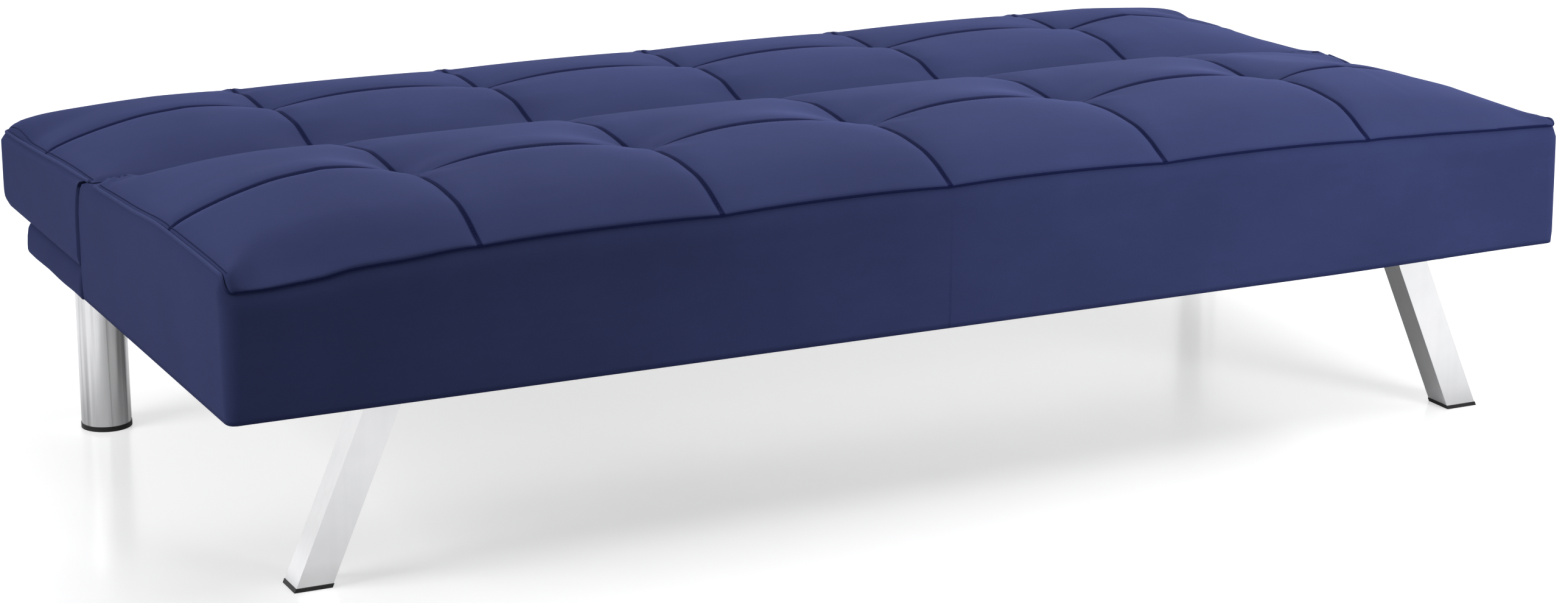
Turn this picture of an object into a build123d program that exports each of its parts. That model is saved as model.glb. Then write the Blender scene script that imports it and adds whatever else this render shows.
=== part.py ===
from build123d import *
import os
from math import atan2, cos, degrees, hypot, radians, sin, tan

# Armless click-clack sofa bed, with its back laid flat to make the bed.
# Millimetres. Origin: centre of the footprint, on the floor. +X runs along
# the length, -Y is the front of the seat, +Z is up. "Front" distances below
# are measured from the very front of the seat, towards the back.

os.makedirs("parts", exist_ok=True)

# ---------------------------------------------------------------- overall
length = 1680.0            # end to end, over the piping
depth = 897.0              # front of the seat to the far edge of the laid-down back
columns = 6                # padded panels along the length, two rows each
fit_gap = 0.3              # clearance between soft pieces and their neighbours
cut = 1.0                  # how far cutting solids run past what they cut

# ---------------------------------------------------------------- soft parts
# Heights here are above the underside of the base, which stands on the legs.
cover_t = 3.0              # fabric with its wadding, where it is thinnest
piping_r = 2.5             # cord sewn into the top edges
piping_drop = 1.0          # cord's centre below the top edge
piping_end = 8.0           # cord stops this far short of the crease
corner_r = 30.0            # upright corners of seat and back, in plan
seat_edge_h = 151.0        # the seat's top edge
seat_crown = 44.0          # rise of the seat's panels above that edge
back_crown = 40.0          # rise of the back's panels above its edge
end_crown_drop = 3.0       # end panels crown a little lower
front_crown_drop = 3.6     # so do the seat's front panels
seam_dip = 12.0            # depth of the stitched channels between panels
slab_edge = 80.0           # bevel along the top of each foam slab
seat_row = 205.0           # front to the seat's lengthwise seam
seat_crease = 480.0        # front to the seat's rear top edge
seat_roll = 67.0           # depth of the rounded edge behind the crease
seat_roll_h = 81.0         # where that rounding meets the rear face
crease_opening = 20.0      # width of the crease at the top edges
panel_gap = 5.0            # seat's rear face to the back
back_edge_h = 145.0        # the back's top edge at the crease
back_tip_h = 121.0         # the back's top edge at the far side
back_row = 187.0           # far edge to the back's lengthwise seam
back_under_r = 22.0        # rounding of the back's lower far edge
back_overhang = 106.0      # back's far edge beyond the base
rest_gap = 3.0             # laid-down back to the base below it
# Where each panel stands highest, as shares of its way from front to rear.
seat_front_peak = 0.46
seat_rear_peak = 0.45
back_peak = 0.47
end_peak = 0.4             # end panels, from the side inward
# Middle of each rounded edge at the crease: shares of its depth and height.
seat_roll_middle = (0.66, 0.39)
back_roll_middle = (0.57, 0.72)

# ---------------------------------------------------------------- base frame
leg_height = 203.0         # floor to the underside of the leg plates
leg_plate_t = 3.0
dust_cover_t = 1.0
dust_cover_inset = 6.0
rail_h = 31.0              # timber rails
side_rail_w = 100.0
front_rail_w = 90.0
rear_rail_w = 80.0
cross_rail_w = 60.0

# ---------------------------------------------------------------- boards
board_t = 18.0
seat_board_h = 72.0
back_board_h = 48.0
stretcher_drop = 12.0      # stretchers sit lower than the boards round them
strap_w = 50.0             # elastic webbing under the foam
strap_t = 2.0
strap_count = 12
strap_side = 90.0          # end straps' centres in from the hinges
strap_land = 7.0           # strap end on the board

# ---------------------------------------------------------------- legs
front_tube_w = 38.0        # square tube, leaning outward
front_wall = 2.0
front_lean = 23.4          # degrees
front_leg_in = 96.5        # end of the bed to the leg's centre at the floor
front_leg = 56.0           # front to the leg's centre
front_plate_x = 100.0
front_plate_y = 76.0
cap_t = 4.5
cap_lip = 0.6              # cap stands proud of the tube all round
plug_h = 12.0              # caps and feet plug into their tubes
plug_gap = 0.2
plug_sides = 16            # the round foot's plug is ribbed, drawn as a polygon
rear_tube_r = 30.0         # round tube, upright
rear_wall = 1.5
rear_leg_in = 61.0         # end of the bed to the leg's centre
rear_leg = 89.0            # rear face of the base to the leg's centre
rear_plate_w = 92.0
plate_corner = 8.0         # cut corners of the leg plates
foot_t = 6.0
bolt_r = 4.0
bolt_gap = 0.2
bolt_head_r = 7.0
bolt_head_h = 5.0
bolt_grip = 24.0           # bolt length above its head
front_bolt_x = 36.0        # bolts from the middle of the front plate
front_bolt_y = 26.0
rear_bolt = 29.0           # bolts from the middle of the rear plate, both ways

# ---------------------------------------------------------------- hinge
# Places are given from the hinge pin: in front of it, behind it or below it.
pivot_back = 7.0           # the pin behind the seat's rear top edge
pivot_down = 12.0          # the pin below that edge
cheek_t = 2.5              # fixed cheeks, one each side of the moving arm
arm_t = 5.0
side_play = 0.3            # between each cheek and the arm
eye_r = 10.0               # plates round the hinge pin
pin_r = 4.5
pin_gap = 0.1
pin_sides = 12             # flats on the pins; what turns on them is bored round
pin_head_lip = 3.0         # head wider than its pin all round
pin_head_h = 2.5
open_angle = 75.0          # back raised for sitting, degrees
ratchet_tip_r = 30.0
ratchet_root_r = 26.0
tooth_pitch = 15.0         # degrees from one position to the next
tooth_count = 5
tooth_tip = 2.5            # half of a tooth's tip, degrees
tooth_gap = 3.5            # half of the gap's floor, degrees
pawl_side = -100.0         # direction from the hinge pin to the nose, degrees
pawl_throw = 10.0          # degrees from released to engaged
pawl_front = 42.0          # pawl pin in front
pawl_down = 36.0           # and below
pawl_pin_r = 4.0
pawl_eye_r = 8.0
pawl_neck_r = 4.0
neck_gap = 2.0             # pawl's neck to the tips of the teeth
nose_gap = 0.7             # nose to the floor of the tooth gap
nose_tip_w = 2.0
nose_waist_w = 3.6         # at the tips of the teeth
nose_root_w = 7.0
rivet_r = 2.5
rivet_front = 63.0         # spring rivet in front
rivet_down = 60.0          # and below
rivet_rim = 4.0            # plate round the rivet
pawl_rim = 5.0             # plate round the pawl pin
spring_t = 1.0
spring_w = 4.0
spring_tail = 5.0          # spring runs past its rivet
spring_bow = 2.4
slot_gap = 1.5             # upholstery round the hinge
seat_slot_front = 110.0    # front end of the slot in the seat's foam
seat_foot_r = 13.0         # outer cheek's foot on the seat board
seat_foot = (142.0, 87.0, 32.0)        # its three screws, in front
seat_foot_down = 38.0      # screws below the board's top edge
arm_knee_back = 85.0       # the arm's bend, behind
arm_knee_down = 24.0       # and below
arm_foot = (138.0, 178.0, 218.0)       # the arm's three screws, behind
arm_foot_h = (37.0, 33.5, 30.0)        # screws above the back board's lower edge
arm_knee_r = 12.0
arm_foot_r = 14.0
screw_r = 3.5
screw_gap = 0.1
screw_head_r = 6.0
screw_head_h = 4.0
screw_grip = 15.0
shank_sides = 6            # bolts, screws and their holes are cut as polygons

# ---------------------------------------------------------------- worked out
skin = cover_t + fit_gap
piping_out = piping_r + fit_gap        # cord's centre off the side
piping_reach = piping_out + piping_r
pitch = length / columns
side_x = length / 2 - piping_reach
front_y = -depth / 2
face_y = front_y + piping_reach
seat_row_y = front_y + seat_row
crease_y = front_y + seat_crease
rear_y = crease_y + seat_roll
lip_y = crease_y + crease_opening
back_y = rear_y + panel_gap
back_row_y = depth / 2 - back_row
tip_y = depth / 2 - piping_reach
base_y = depth / 2 - back_overhang
rail_z = leg_height + leg_plate_t + dust_cover_t
rail_top = rail_z + rail_h
rail_x = side_x - skin
rail_in_x = rail_x - side_rail_w
rail_front = face_y + skin
rail_rear = base_y - skin
board_top = rail_top + seat_board_h
board_in_x = rail_x - board_t
seat_board_rear = rear_y - skin
seat_foam_z = board_top + strap_t + fit_gap
seat_edge_z = rail_z + seat_edge_h
seat_roll_z = rail_z + seat_roll_h
wrap_top = rail_top + cover_t
under_z = wrap_top + rest_gap
back_board_z = under_z + cover_t
back_board_top = back_board_z + back_board_h
back_foam_z = back_board_top + strap_t + fit_gap
back_edge_z = rail_z + back_edge_h
back_tip_z = rail_z + back_tip_h
run = tip_y - lip_y
drop = back_edge_z - back_tip_z
cheek_x = board_in_x - cheek_t
arm_x = cheek_x - side_play
arm_in_x = arm_x - arm_t
inner_cheek_x = arm_in_x - side_play
pack_x = inner_cheek_x - cheek_t
strap_pitch = 2 * (pack_x - strap_side) / (strap_count - 1)
pin = (crease_y + pivot_back, seat_edge_z - pivot_down)
pawl_pin = (pin[0] - pawl_front, pin[1] - pawl_down)
rivet = (pin[0] - rivet_front, pin[1] - rivet_down)
seat_screws = [(pin[0] - front, board_top - seat_foot_down) for front in seat_foot]
knee = (pin[0] + arm_knee_back, pin[1] - arm_knee_down)
arm_screws = [(pin[0] + back, back_board_z + h) for back, h in zip(arm_foot, arm_foot_h)]
sides = {"left": -1, "right": 1}


def write(part, label):
    """Name a finished sub-part and write it to its own file."""
    part.label = label
    export_step(part, f"parts/{label}.step")


# ================================================================ cushions
# Each cushion is a prism of its side view, cut to its front view and to its
# plan. Outside, both views are arcs, one for each padded panel; inside, the
# foam is a plain bevelled slab, and the cover's wadding fills the panels.
# The views' tops start at the piping's outer side, a little outside the plan.
def panel_outline(edge, crown, bottom, padded):
    """The front view: one low arc for each column of panels, or a bevelled slab."""
    channel = edge + crown - seam_dip
    x = length / 2
    low_edge = edge - piping_reach
    with BuildLine() as outline:
        if padded:
            for i in range(columns):
                first, last = i == 0, i == columns - 1
                a = (i - columns / 2) * pitch
                peak = end_peak if first else 1 - end_peak if last else 0.5
                top = edge + crown - (end_crown_drop if first or last else 0)
                start = (a, low_edge if first else channel)
                end = (a + pitch, low_edge if last else channel)
                ThreePointArc(start, (a + peak * pitch, top), end)
        else:
            Polyline((-x, low_edge), (-x + slab_edge, channel), (x - slab_edge, channel),
                     (x, low_edge))
        Polyline((x, low_edge), (x, bottom), (-x, bottom), (-x, low_edge))
    return outline.line


def seat_outline(padded):
    """The seat's side view, from a little below its skirt upward."""
    channel = seat_edge_z + seat_crown - seam_dip
    low = rail_z - 2 * skin
    low_edge = seat_edge_z - piping_reach
    with BuildLine() as outline:
        Polyline((rear_y, seat_roll_z), (rear_y, low), (front_y, low), (front_y, low_edge))
        if padded:
            ThreePointArc((front_y, low_edge),
                          (face_y + seat_front_peak * (seat_row_y - face_y),
                           channel + seam_dip - front_crown_drop),
                          (seat_row_y, channel))
            ThreePointArc((seat_row_y, channel),
                          (seat_row_y + seat_rear_peak * (crease_y - seat_row_y),
                           channel + seam_dip),
                          (crease_y, seat_edge_z))
        else:
            Polyline((front_y, low_edge), (front_y + slab_edge, channel),
                     (crease_y - slab_edge, channel), (crease_y, seat_edge_z))
        ThreePointArc((crease_y, seat_edge_z),
                      (crease_y + seat_roll_middle[0] * seat_roll,
                       seat_edge_z - seat_roll_middle[1] * (seat_edge_z - seat_roll_z)),
                      (rear_y, seat_roll_z))
    return outline.line


def back_outline(padded):
    """The side view of the laid-down back."""
    def top(y, rise):
        return back_edge_z - drop * (y - lip_y) / run + rise

    channel = back_crown - seam_dip
    peaks = (lip_y + back_peak * (back_row_y - lip_y),
             back_row_y + back_peak * (tip_y - back_row_y))
    with BuildLine() as outline:
        if padded:
            ThreePointArc((lip_y, back_edge_z), (peaks[0], top(peaks[0], back_crown)),
                          (back_row_y, top(back_row_y, channel)))
            ThreePointArc((back_row_y, top(back_row_y, channel)),
                          (peaks[1], top(peaks[1], back_crown)), (tip_y, back_tip_z))
        else:
            Polyline((lip_y, back_edge_z), (lip_y + slab_edge, top(lip_y + slab_edge, channel)),
                     (tip_y - slab_edge, top(tip_y - slab_edge, channel)),
                     (tip_y, back_tip_z))
        ThreePointArc((back_y, seat_roll_z),
                      (lip_y + back_roll_middle[0] * (back_y - lip_y),
                       seat_roll_z + back_roll_middle[1] * (back_edge_z - seat_roll_z)),
                      (lip_y, back_edge_z))
        Line((tip_y, back_tip_z), (tip_y, under_z + back_under_r))
        RadiusArc((tip_y, under_z + back_under_r), (tip_y - back_under_r, under_z),
                  back_under_r)
        Polyline((tip_y - back_under_r, under_z), (back_y, under_z), (back_y, seat_roll_z))
    return outline.line


def outline_face(outline, inset):
    """A face inside the outline, its edges moved inward by inset."""
    add(outline)
    make_face()
    if inset:
        offset(amount=-inset, kind=Kind.INTERSECTION, mode=Mode.REPLACE)


def seat_form(bottom, inset=0):
    """The padded seat from bottom upward, or the slab inside it, inset all round."""
    padded = inset == 0
    with BuildPart() as form:
        with BuildSketch(Plane.YZ.offset(-length / 2)):
            outline_face(seat_outline(padded), inset)
        extrude(amount=length)
        with BuildSketch(Plane.XZ.offset(-rear_y - cut)):
            outline_face(panel_outline(seat_edge_z, seat_crown, rail_z - 2 * skin, padded), inset)
        extrude(amount=rear_y - front_y + 2 * cut, mode=Mode.INTERSECT)
        with BuildSketch(Plane.XY.offset(bottom)) as plan:
            with Locations((0, (face_y + inset + back_y) / 2)):
                Rectangle(2 * (side_x - inset), back_y - face_y - inset)
            fillet(plan.vertices().group_by(Axis.Y)[0], corner_r - inset)
        extrude(amount=seat_edge_z + seat_crown - bottom, mode=Mode.INTERSECT)
    return form.part


def back_form(bottom, inset=0):
    """The padded back from bottom upward, or the slab inside it, inset all round."""
    padded = inset == 0
    with BuildPart() as form:
        with BuildSketch(Plane.YZ.offset(-length / 2)):
            outline_face(back_outline(padded), inset)
        extrude(amount=length)
        with BuildSketch(Plane.XZ.offset(-lip_y + corner_r)):
            edge = back_edge_z + drop * corner_r / run
            outline_face(panel_outline(edge, back_crown, 0, padded), inset)
        extrude(amount=hypot(run, drop) * (1 + 2 * corner_r / run), dir=(0, run, -drop),
                mode=Mode.INTERSECT)
        with BuildSketch(Plane.XY.offset(bottom)) as plan:
            with Locations((0, (tip_y - inset + crease_y) / 2)):
                Rectangle(2 * (side_x - inset), tip_y - inset - crease_y)
            fillet(plan.vertices().group_by(Axis.Y)[-1], corner_r - inset)
        extrude(amount=back_edge_z + back_crown - bottom, mode=Mode.INTERSECT)
    return form.part


def box(x0, x1, y0, y1, z0, z1):
    """A rectangular block between three pairs of planes."""
    with BuildPart() as block:
        with BuildSketch(Plane.XY.offset(z0)):
            with Locations(((x0 + x1) / 2, (y0 + y1) / 2)):
                Rectangle(x1 - x0, y1 - y0)
        extrude(amount=z1 - z0)
    return block.part


def cord(plane, end):
    """A cord along three edges of a top panel, eight-sided, its corners rounded.

    The plane lies in the panel's edge, its origin at mid-length of the open
    edge; end is the distance from there to the closed edge, and its sign
    gives the direction.
    """
    x = side_x + piping_out
    start = piping_end if end > 0 else -piping_end
    with BuildPart() as round_cord:
        with BuildLine(plane) as path:
            FilletPolyline((-x, start), (-x, end), (x, end), (x, start),
                           radius=corner_r + piping_out)
        with BuildSketch(Plane(origin=path.line @ 0, z_dir=path.line % 0)):
            RegularPolygon(piping_r, 8)
        sweep()
    return round_cord.part


seat_cord_plane = Plane.XY.offset(seat_edge_z - piping_drop).move(Location((0, crease_y, 0)))
seat_cord_end = face_y - piping_out - crease_y
back_cord_plane = Plane(origin=(0, lip_y, back_edge_z - piping_drop), x_dir=(1, 0, 0),
                        z_dir=(0, drop, run))
back_cord_end = hypot(run, drop) + piping_out


def both_sides(part, side):
    """The part itself on the right, its mirror image on the left."""
    return part if side > 0 else mirror(part, Plane.YZ, mode=Mode.PRIVATE)


# Slots that let the hinges pass through the upholstery.
slot_in_x = pack_x - pin_head_h - slot_gap
slot_out_x = board_in_x + fit_gap
slot_top = pin[1] + eye_r + slot_gap
seat_slot = box(slot_in_x, slot_out_x, pin[0] - seat_slot_front, rear_y + cut,
                rail_top, slot_top)
skin_slot = box(slot_in_x, slot_out_x, pin[0] - eye_r - slot_gap, rear_y + cut,
                pin[1] - ratchet_tip_r - slot_gap, slot_top)
arm_slot = box(arm_in_x - fit_gap, cheek_x, lip_y - cut, arm_screws[0][0] + 2 * arm_foot_r,
               back_board_z, knee[1] + arm_knee_r + fit_gap)
lip_slot = box(arm_in_x - fit_gap, cheek_x, lip_y - cut, knee[0] + arm_knee_r,
               back_board_z, slot_top)

with BuildPart() as seat_foam:
    add(seat_form(seat_foam_z, skin))
    for side in sides.values():
        add(both_sides(seat_slot, side), mode=Mode.SUBTRACT)
write(seat_foam.part, "seat_foam")

with BuildPart() as back_foam:
    add(back_form(back_foam_z, skin))
    for side in sides.values():
        add(both_sides(arm_slot, side), mode=Mode.SUBTRACT)
        add(both_sides(lip_slot, side), mode=Mode.SUBTRACT)
write(back_foam.part, "back_foam")

with BuildPart() as seat_piping:
    add(cord(seat_cord_plane, seat_cord_end))
write(seat_piping.part, "seat_piping")

with BuildPart() as back_piping:
    add(cord(back_cord_plane, back_cord_end))
write(back_piping.part, "back_piping")

# Seat cover: a padded fabric box open below.
with BuildPart() as seat_cover:
    add(seat_form(rail_z))
    add(seat_form(rail_z - cut, cover_t), mode=Mode.SUBTRACT)
    add(box(-side_x + cover_t, side_x - cover_t, rear_y - cover_t - cut, rear_y + cut,
            rail_z - cut, rail_top), mode=Mode.SUBTRACT)
    for side in sides.values():
        add(both_sides(skin_slot, side), mode=Mode.SUBTRACT)
write(seat_cover.part, "seat_cover")

# Back cover: the same round the back, its underside closed by a flat panel.
opening_x = side_x - cover_t
opening_front = back_y + cover_t
opening_rear = tip_y - corner_r
with BuildPart() as back_cover:
    add(back_form(rail_top))
    add(back_form(rail_top, cover_t), mode=Mode.SUBTRACT)
    add(box(-opening_x, opening_x, opening_front, opening_rear, under_z - cut,
            back_board_z + cut), mode=Mode.SUBTRACT)
    for side in sides.values():
        add(both_sides(arm_slot, side), mode=Mode.SUBTRACT)
        add(both_sides(lip_slot, side), mode=Mode.SUBTRACT)
write(back_cover.part, "back_cover")

with BuildPart() as back_panel:
    add(box(-opening_x + fit_gap, opening_x - fit_gap, opening_front + fit_gap,
            opening_rear - fit_gap, under_z, back_board_z))
write(back_panel.part, "back_panel")

# ============================================================== base frame
front_slope = tan(radians(front_lean))
front_leg_x = length / 2 - front_leg_in
front_top_x = front_leg_x - front_slope * leg_height
front_leg_y = front_y + front_leg
rear_leg_x = length / 2 - rear_leg_in
rear_leg_y = base_y - rear_leg
bolt_spots = [(side * (front_top_x + dx), front_leg_y + dy)
              for side in sides.values()
              for dx in (-front_bolt_x, front_bolt_x)
              for dy in (-front_bolt_y, front_bolt_y)]
bolt_spots += [(side * rear_leg_x + dx, rear_leg_y + dy)
               for side in sides.values()
               for dx in (-rear_bolt, rear_bolt)
               for dy in (-rear_bolt, rear_bolt)]

with BuildPart() as bolt_holes:
    with BuildSketch(Plane.XY.offset(leg_height)):
        with Locations(*bolt_spots):
            RegularPolygon(bolt_r + bolt_gap, shank_sides)
    extrude(amount=bolt_grip + cut)

for name, side in sides.items():
    with BuildPart() as base_side_rail:
        add(box(rail_in_x, rail_x, rail_front, rail_rear, rail_z, rail_top))
        corner = base_side_rail.edges().filter_by(Axis.Z).group_by(Axis.X)[-1].sort_by(Axis.Y)[0]
        fillet(corner, corner_r - skin)
    with BuildPart() as placed:
        add(both_sides(base_side_rail.part, side))
        add(bolt_holes.part, mode=Mode.SUBTRACT)
    write(placed.part, f"base_side_rail_{name}")

with BuildPart() as base_front_rail:
    add(box(-rail_in_x, rail_in_x, rail_front, rail_front + front_rail_w, rail_z, rail_top))
    add(bolt_holes.part, mode=Mode.SUBTRACT)
write(base_front_rail.part, "base_front_rail")

with BuildPart() as base_rear_rail:
    add(box(-rail_in_x, rail_in_x, rail_rear - rear_rail_w, rail_rear, rail_z, rail_top))
write(base_rear_rail.part, "base_rear_rail")

for name, x in {"left": -pitch, "centre": 0, "right": pitch}.items():
    with BuildPart() as base_cross_rail:
        add(box(x - cross_rail_w / 2, x + cross_rail_w / 2, rail_front + front_rail_w,
                rail_rear - rear_rail_w, rail_z, rail_top))
    write(base_cross_rail.part, f"base_cross_rail_{name}")

# Fabric wrapped over the part of the base that the back lies on.
for name, side in sides.items():
    with BuildPart() as base_wrap:
        add(box(side_x - cover_t, side_x, rear_y + fit_gap, base_y, rail_z, wrap_top))
        add(box(rail_in_x, side_x, rear_y + fit_gap, base_y, rail_top, wrap_top))
    write(both_sides(base_wrap.part, side), f"base_wrap_{name}")

with BuildPart() as base_wrap_rear:
    add(box(-side_x + skin, side_x - skin, base_y - cover_t, base_y, rail_z, rail_top))
    add(box(-rail_in_x + fit_gap, rail_in_x - fit_gap, rail_rear - rear_rail_w, base_y,
            rail_top, wrap_top))
write(base_wrap_rear.part, "base_wrap_rear")

with BuildPart() as dust_cover:
    add(box(-rail_x + dust_cover_inset, rail_x - dust_cover_inset,
            rail_front + dust_cover_inset, rail_rear - dust_cover_inset,
            rail_z - dust_cover_t, rail_z))
    add(bolt_holes.part, mode=Mode.SUBTRACT)
    corners = dust_cover.edges().filter_by(Axis.Z).filter_by(GeomType.LINE)
    fillet(corners.sort_by(Axis.Y)[0:2], corner_r - skin)
write(dust_cover.part, "dust_cover")

# ================================================================== boards
def screw_shanks(spots, x, radius, length):
    """Bars along +X from x, one at each (y, z) spot."""
    with BuildPart() as shanks:
        with BuildSketch(Plane.YZ.offset(x)):
            with Locations(*spots):
                RegularPolygon(radius, shank_sides)
        extrude(amount=length)
    return shanks.part


seat_inside = seat_form(rail_top, skin)

with BuildPart() as seat_side_board:
    add(box(board_in_x, rail_x, rail_front, seat_board_rear, rail_top, board_top))
    add(seat_inside, mode=Mode.INTERSECT)
    add(screw_shanks(seat_screws, board_in_x, screw_r + screw_gap, screw_grip),
        mode=Mode.SUBTRACT)
for name, side in sides.items():
    write(both_sides(seat_side_board.part, side), f"seat_side_board_{name}")

with BuildPart() as seat_front_board:
    add(box(-board_in_x, board_in_x, rail_front, rail_front + board_t, rail_top, board_top))
    add(seat_inside, mode=Mode.INTERSECT)
write(seat_front_board.part, "seat_front_board")

with BuildPart() as seat_rear_board:
    add(box(-board_in_x, board_in_x, seat_board_rear - board_t, seat_board_rear,
            rail_top, board_top))
    add(seat_inside, mode=Mode.INTERSECT)
write(seat_rear_board.part, "seat_rear_board")

back_inside = back_form(rail_top, skin)
back_board_x = arm_x                   # the arms are screwed to these boards' inner faces
back_board_front = back_y + skin
back_board_rear = tip_y - skin

with BuildPart() as back_side_board:
    add(box(back_board_x, back_board_x + board_t, back_board_front, back_board_rear,
            back_board_z, back_board_top))
    add(back_inside, mode=Mode.INTERSECT)
    add(screw_shanks(arm_screws, back_board_x, screw_r + screw_gap, screw_grip),
        mode=Mode.SUBTRACT)
for name, side in sides.items():
    write(both_sides(back_side_board.part, side), f"back_side_board_{name}")

with BuildPart() as back_lower_board:
    add(box(-back_board_x, back_board_x, back_board_front, back_board_front + board_t,
            back_board_z, back_board_top))
write(back_lower_board.part, "back_lower_board")

with BuildPart() as back_upper_board:
    add(box(-back_board_x, back_board_x, back_board_rear - 2 * board_t, back_board_rear,
            back_board_z, back_board_top))
    add(back_inside, mode=Mode.INTERSECT)
write(back_upper_board.part, "back_upper_board")

for name, side in sides.items():
    x0 = side * pitch - board_t / 2
    with BuildPart() as seat_stretcher:
        add(box(x0, x0 + board_t, rail_front + board_t, seat_board_rear - board_t,
                rail_top, board_top - stretcher_drop))
    write(seat_stretcher.part, f"seat_stretcher_{name}")
    with BuildPart() as back_stretcher:
        add(box(x0, x0 + board_t, back_board_front + board_t, back_board_rear - 2 * board_t,
                back_board_z, back_board_top - stretcher_drop))
    write(back_stretcher.part, f"back_stretcher_{name}")

with BuildPart() as seat_straps:
    with BuildSketch(Plane.XY.offset(board_top)):
        with Locations((0, (rail_front + seat_board_rear) / 2)):
            with GridLocations(strap_pitch, 1, strap_count, 1):
                Rectangle(strap_w, seat_board_rear - rail_front - 2 * (board_t - strap_land))
    extrude(amount=strap_t)
write(seat_straps.part, "seat_straps")

with BuildPart() as back_straps:
    with BuildSketch(Plane.XY.offset(back_board_top)):
        with Locations((0, (back_board_front + back_board_rear) / 2)):
            with GridLocations(strap_pitch, 1, strap_count, 1):
                Rectangle(strap_w, back_board_rear - back_board_front - 2 * (board_t - strap_land))
    extrude(amount=strap_t)
write(back_straps.part, "back_straps")

# ==================================================================== legs
front_w = front_tube_w / cos(radians(front_lean))       # tube width cut level
front_in_w = front_w - 2 * front_wall / cos(radians(front_lean))
front_in_y = front_tube_w - 2 * front_wall


def leaning(side, z, height, *outlines):
    """A prism along the front leg's axis; the second outline is its bore."""
    with BuildPart() as prism:
        with BuildSketch(Plane.XY.offset(z)):
            with Locations((side * (front_leg_x - front_slope * z), front_leg_y)):
                Rectangle(*outlines[0])
                for outline in outlines[1:]:
                    Rectangle(*outline, mode=Mode.SUBTRACT)
        extrude(amount=height / cos(radians(front_lean)), dir=(-side * front_slope, 0, 1))
    return prism.part


for name, side in sides.items():
    with BuildPart() as front_leg:
        add(leaning(side, cap_t, leg_height - cap_t, (front_w, front_tube_w),
                    (front_in_w, front_in_y)))
    write(front_leg.part, f"front_leg_{name}")

    with BuildPart() as front_leg_cap:
        add(leaning(side, 0, cap_t, (front_w + 2 * cap_lip, front_tube_w + 2 * cap_lip)))
        add(leaning(side, cap_t, plug_h, (front_in_w - 2 * plug_gap, front_in_y - 2 * plug_gap)))
    write(front_leg_cap.part, f"front_leg_cap_{name}")

    with BuildPart() as front_leg_plate:
        with BuildSketch(Plane.XY.offset(leg_height)) as outline:
            with Locations((side * front_top_x, front_leg_y)):
                Rectangle(front_plate_x, front_plate_y)
            chamfer(outline.vertices(), plate_corner)
        extrude(amount=leg_plate_t)
        add(bolt_holes.part, mode=Mode.SUBTRACT)
    write(front_leg_plate.part, f"front_leg_plate_{name}")

    with BuildPart() as rear_leg:
        with BuildSketch(Plane.XY.offset(foot_t)):
            with Locations((side * rear_leg_x, rear_leg_y)):
                Circle(rear_tube_r)
                Circle(rear_tube_r - rear_wall, mode=Mode.SUBTRACT)
        extrude(amount=leg_height - foot_t)
    write(rear_leg.part, f"rear_leg_{name}")

    with BuildPart() as rear_leg_foot:
        with BuildSketch():
            with Locations((side * rear_leg_x, rear_leg_y)):
                Circle(rear_tube_r + cap_lip)
        extrude(amount=foot_t)
        with BuildSketch(Plane.XY.offset(foot_t)):
            with Locations((side * rear_leg_x, rear_leg_y)):
                RegularPolygon(rear_tube_r - rear_wall - plug_gap, plug_sides)
        extrude(amount=plug_h)
    write(rear_leg_foot.part, f"rear_leg_foot_{name}")

    with BuildPart() as rear_leg_plate:
        with BuildSketch(Plane.XY.offset(leg_height)) as outline:
            with Locations((side * rear_leg_x, rear_leg_y)):
                Rectangle(rear_plate_w, rear_plate_w)
            chamfer(outline.vertices(), plate_corner)
        extrude(amount=leg_plate_t)
        add(bolt_holes.part, mode=Mode.SUBTRACT)
    write(rear_leg_plate.part, f"rear_leg_plate_{name}")

with BuildPart() as leg_bolts:
    with BuildSketch(Plane.XY.offset(leg_height - bolt_head_h)):
        with Locations(*bolt_spots):
            RegularPolygon(bolt_head_r, 6)
    extrude(amount=bolt_head_h)
    with BuildSketch(Plane.XY.offset(leg_height)):
        with Locations(*bolt_spots):
            RegularPolygon(bolt_r, shank_sides)
    extrude(amount=bolt_grip)
write(leg_bolts.part, "leg_bolts")

# =================================================================== hinge
def turned(point, centre, angle):
    """The point turned about the centre, degrees counter-clockwise."""
    y, z = point[0] - centre[0], point[1] - centre[1]
    c, s = cos(radians(angle)), sin(radians(angle))
    return (centre[0] + c * y - s * z, centre[1] + s * y + c * z)


def polar(centre, radius, angle):
    return turned((centre[0] + radius, centre[1]), centre, angle)


def plate(x, thickness, *links, outlines=(), pins=(), bores=(), screws=()):
    """A flat plate in a YZ plane: hulls round circles and outlines, less its holes.

    Pins are held in holes with flats, and bores turn on their pins.
    """
    with BuildPart() as flat:
        with BuildSketch(Plane.YZ.offset(x)):
            for link in links:
                rings = []
                for centre, r in link:
                    with Locations(centre):
                        rings += Circle(r).edges()
                make_hull(rings)
            for outline in outlines:
                with BuildLine():
                    Polyline(*outline, close=True)
                make_face()
            for centre, r in pins:
                with Locations(centre):
                    RegularPolygon(r + pin_gap, pin_sides, mode=Mode.SUBTRACT)
            for centre, r in bores:
                with Locations(centre):
                    Circle(r + pin_gap, mode=Mode.SUBTRACT)
            for spot in screws:
                with Locations(spot):
                    RegularPolygon(screw_r + screw_gap, shank_sides, mode=Mode.SUBTRACT)
        extrude(amount=thickness)
    return flat.part


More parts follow.
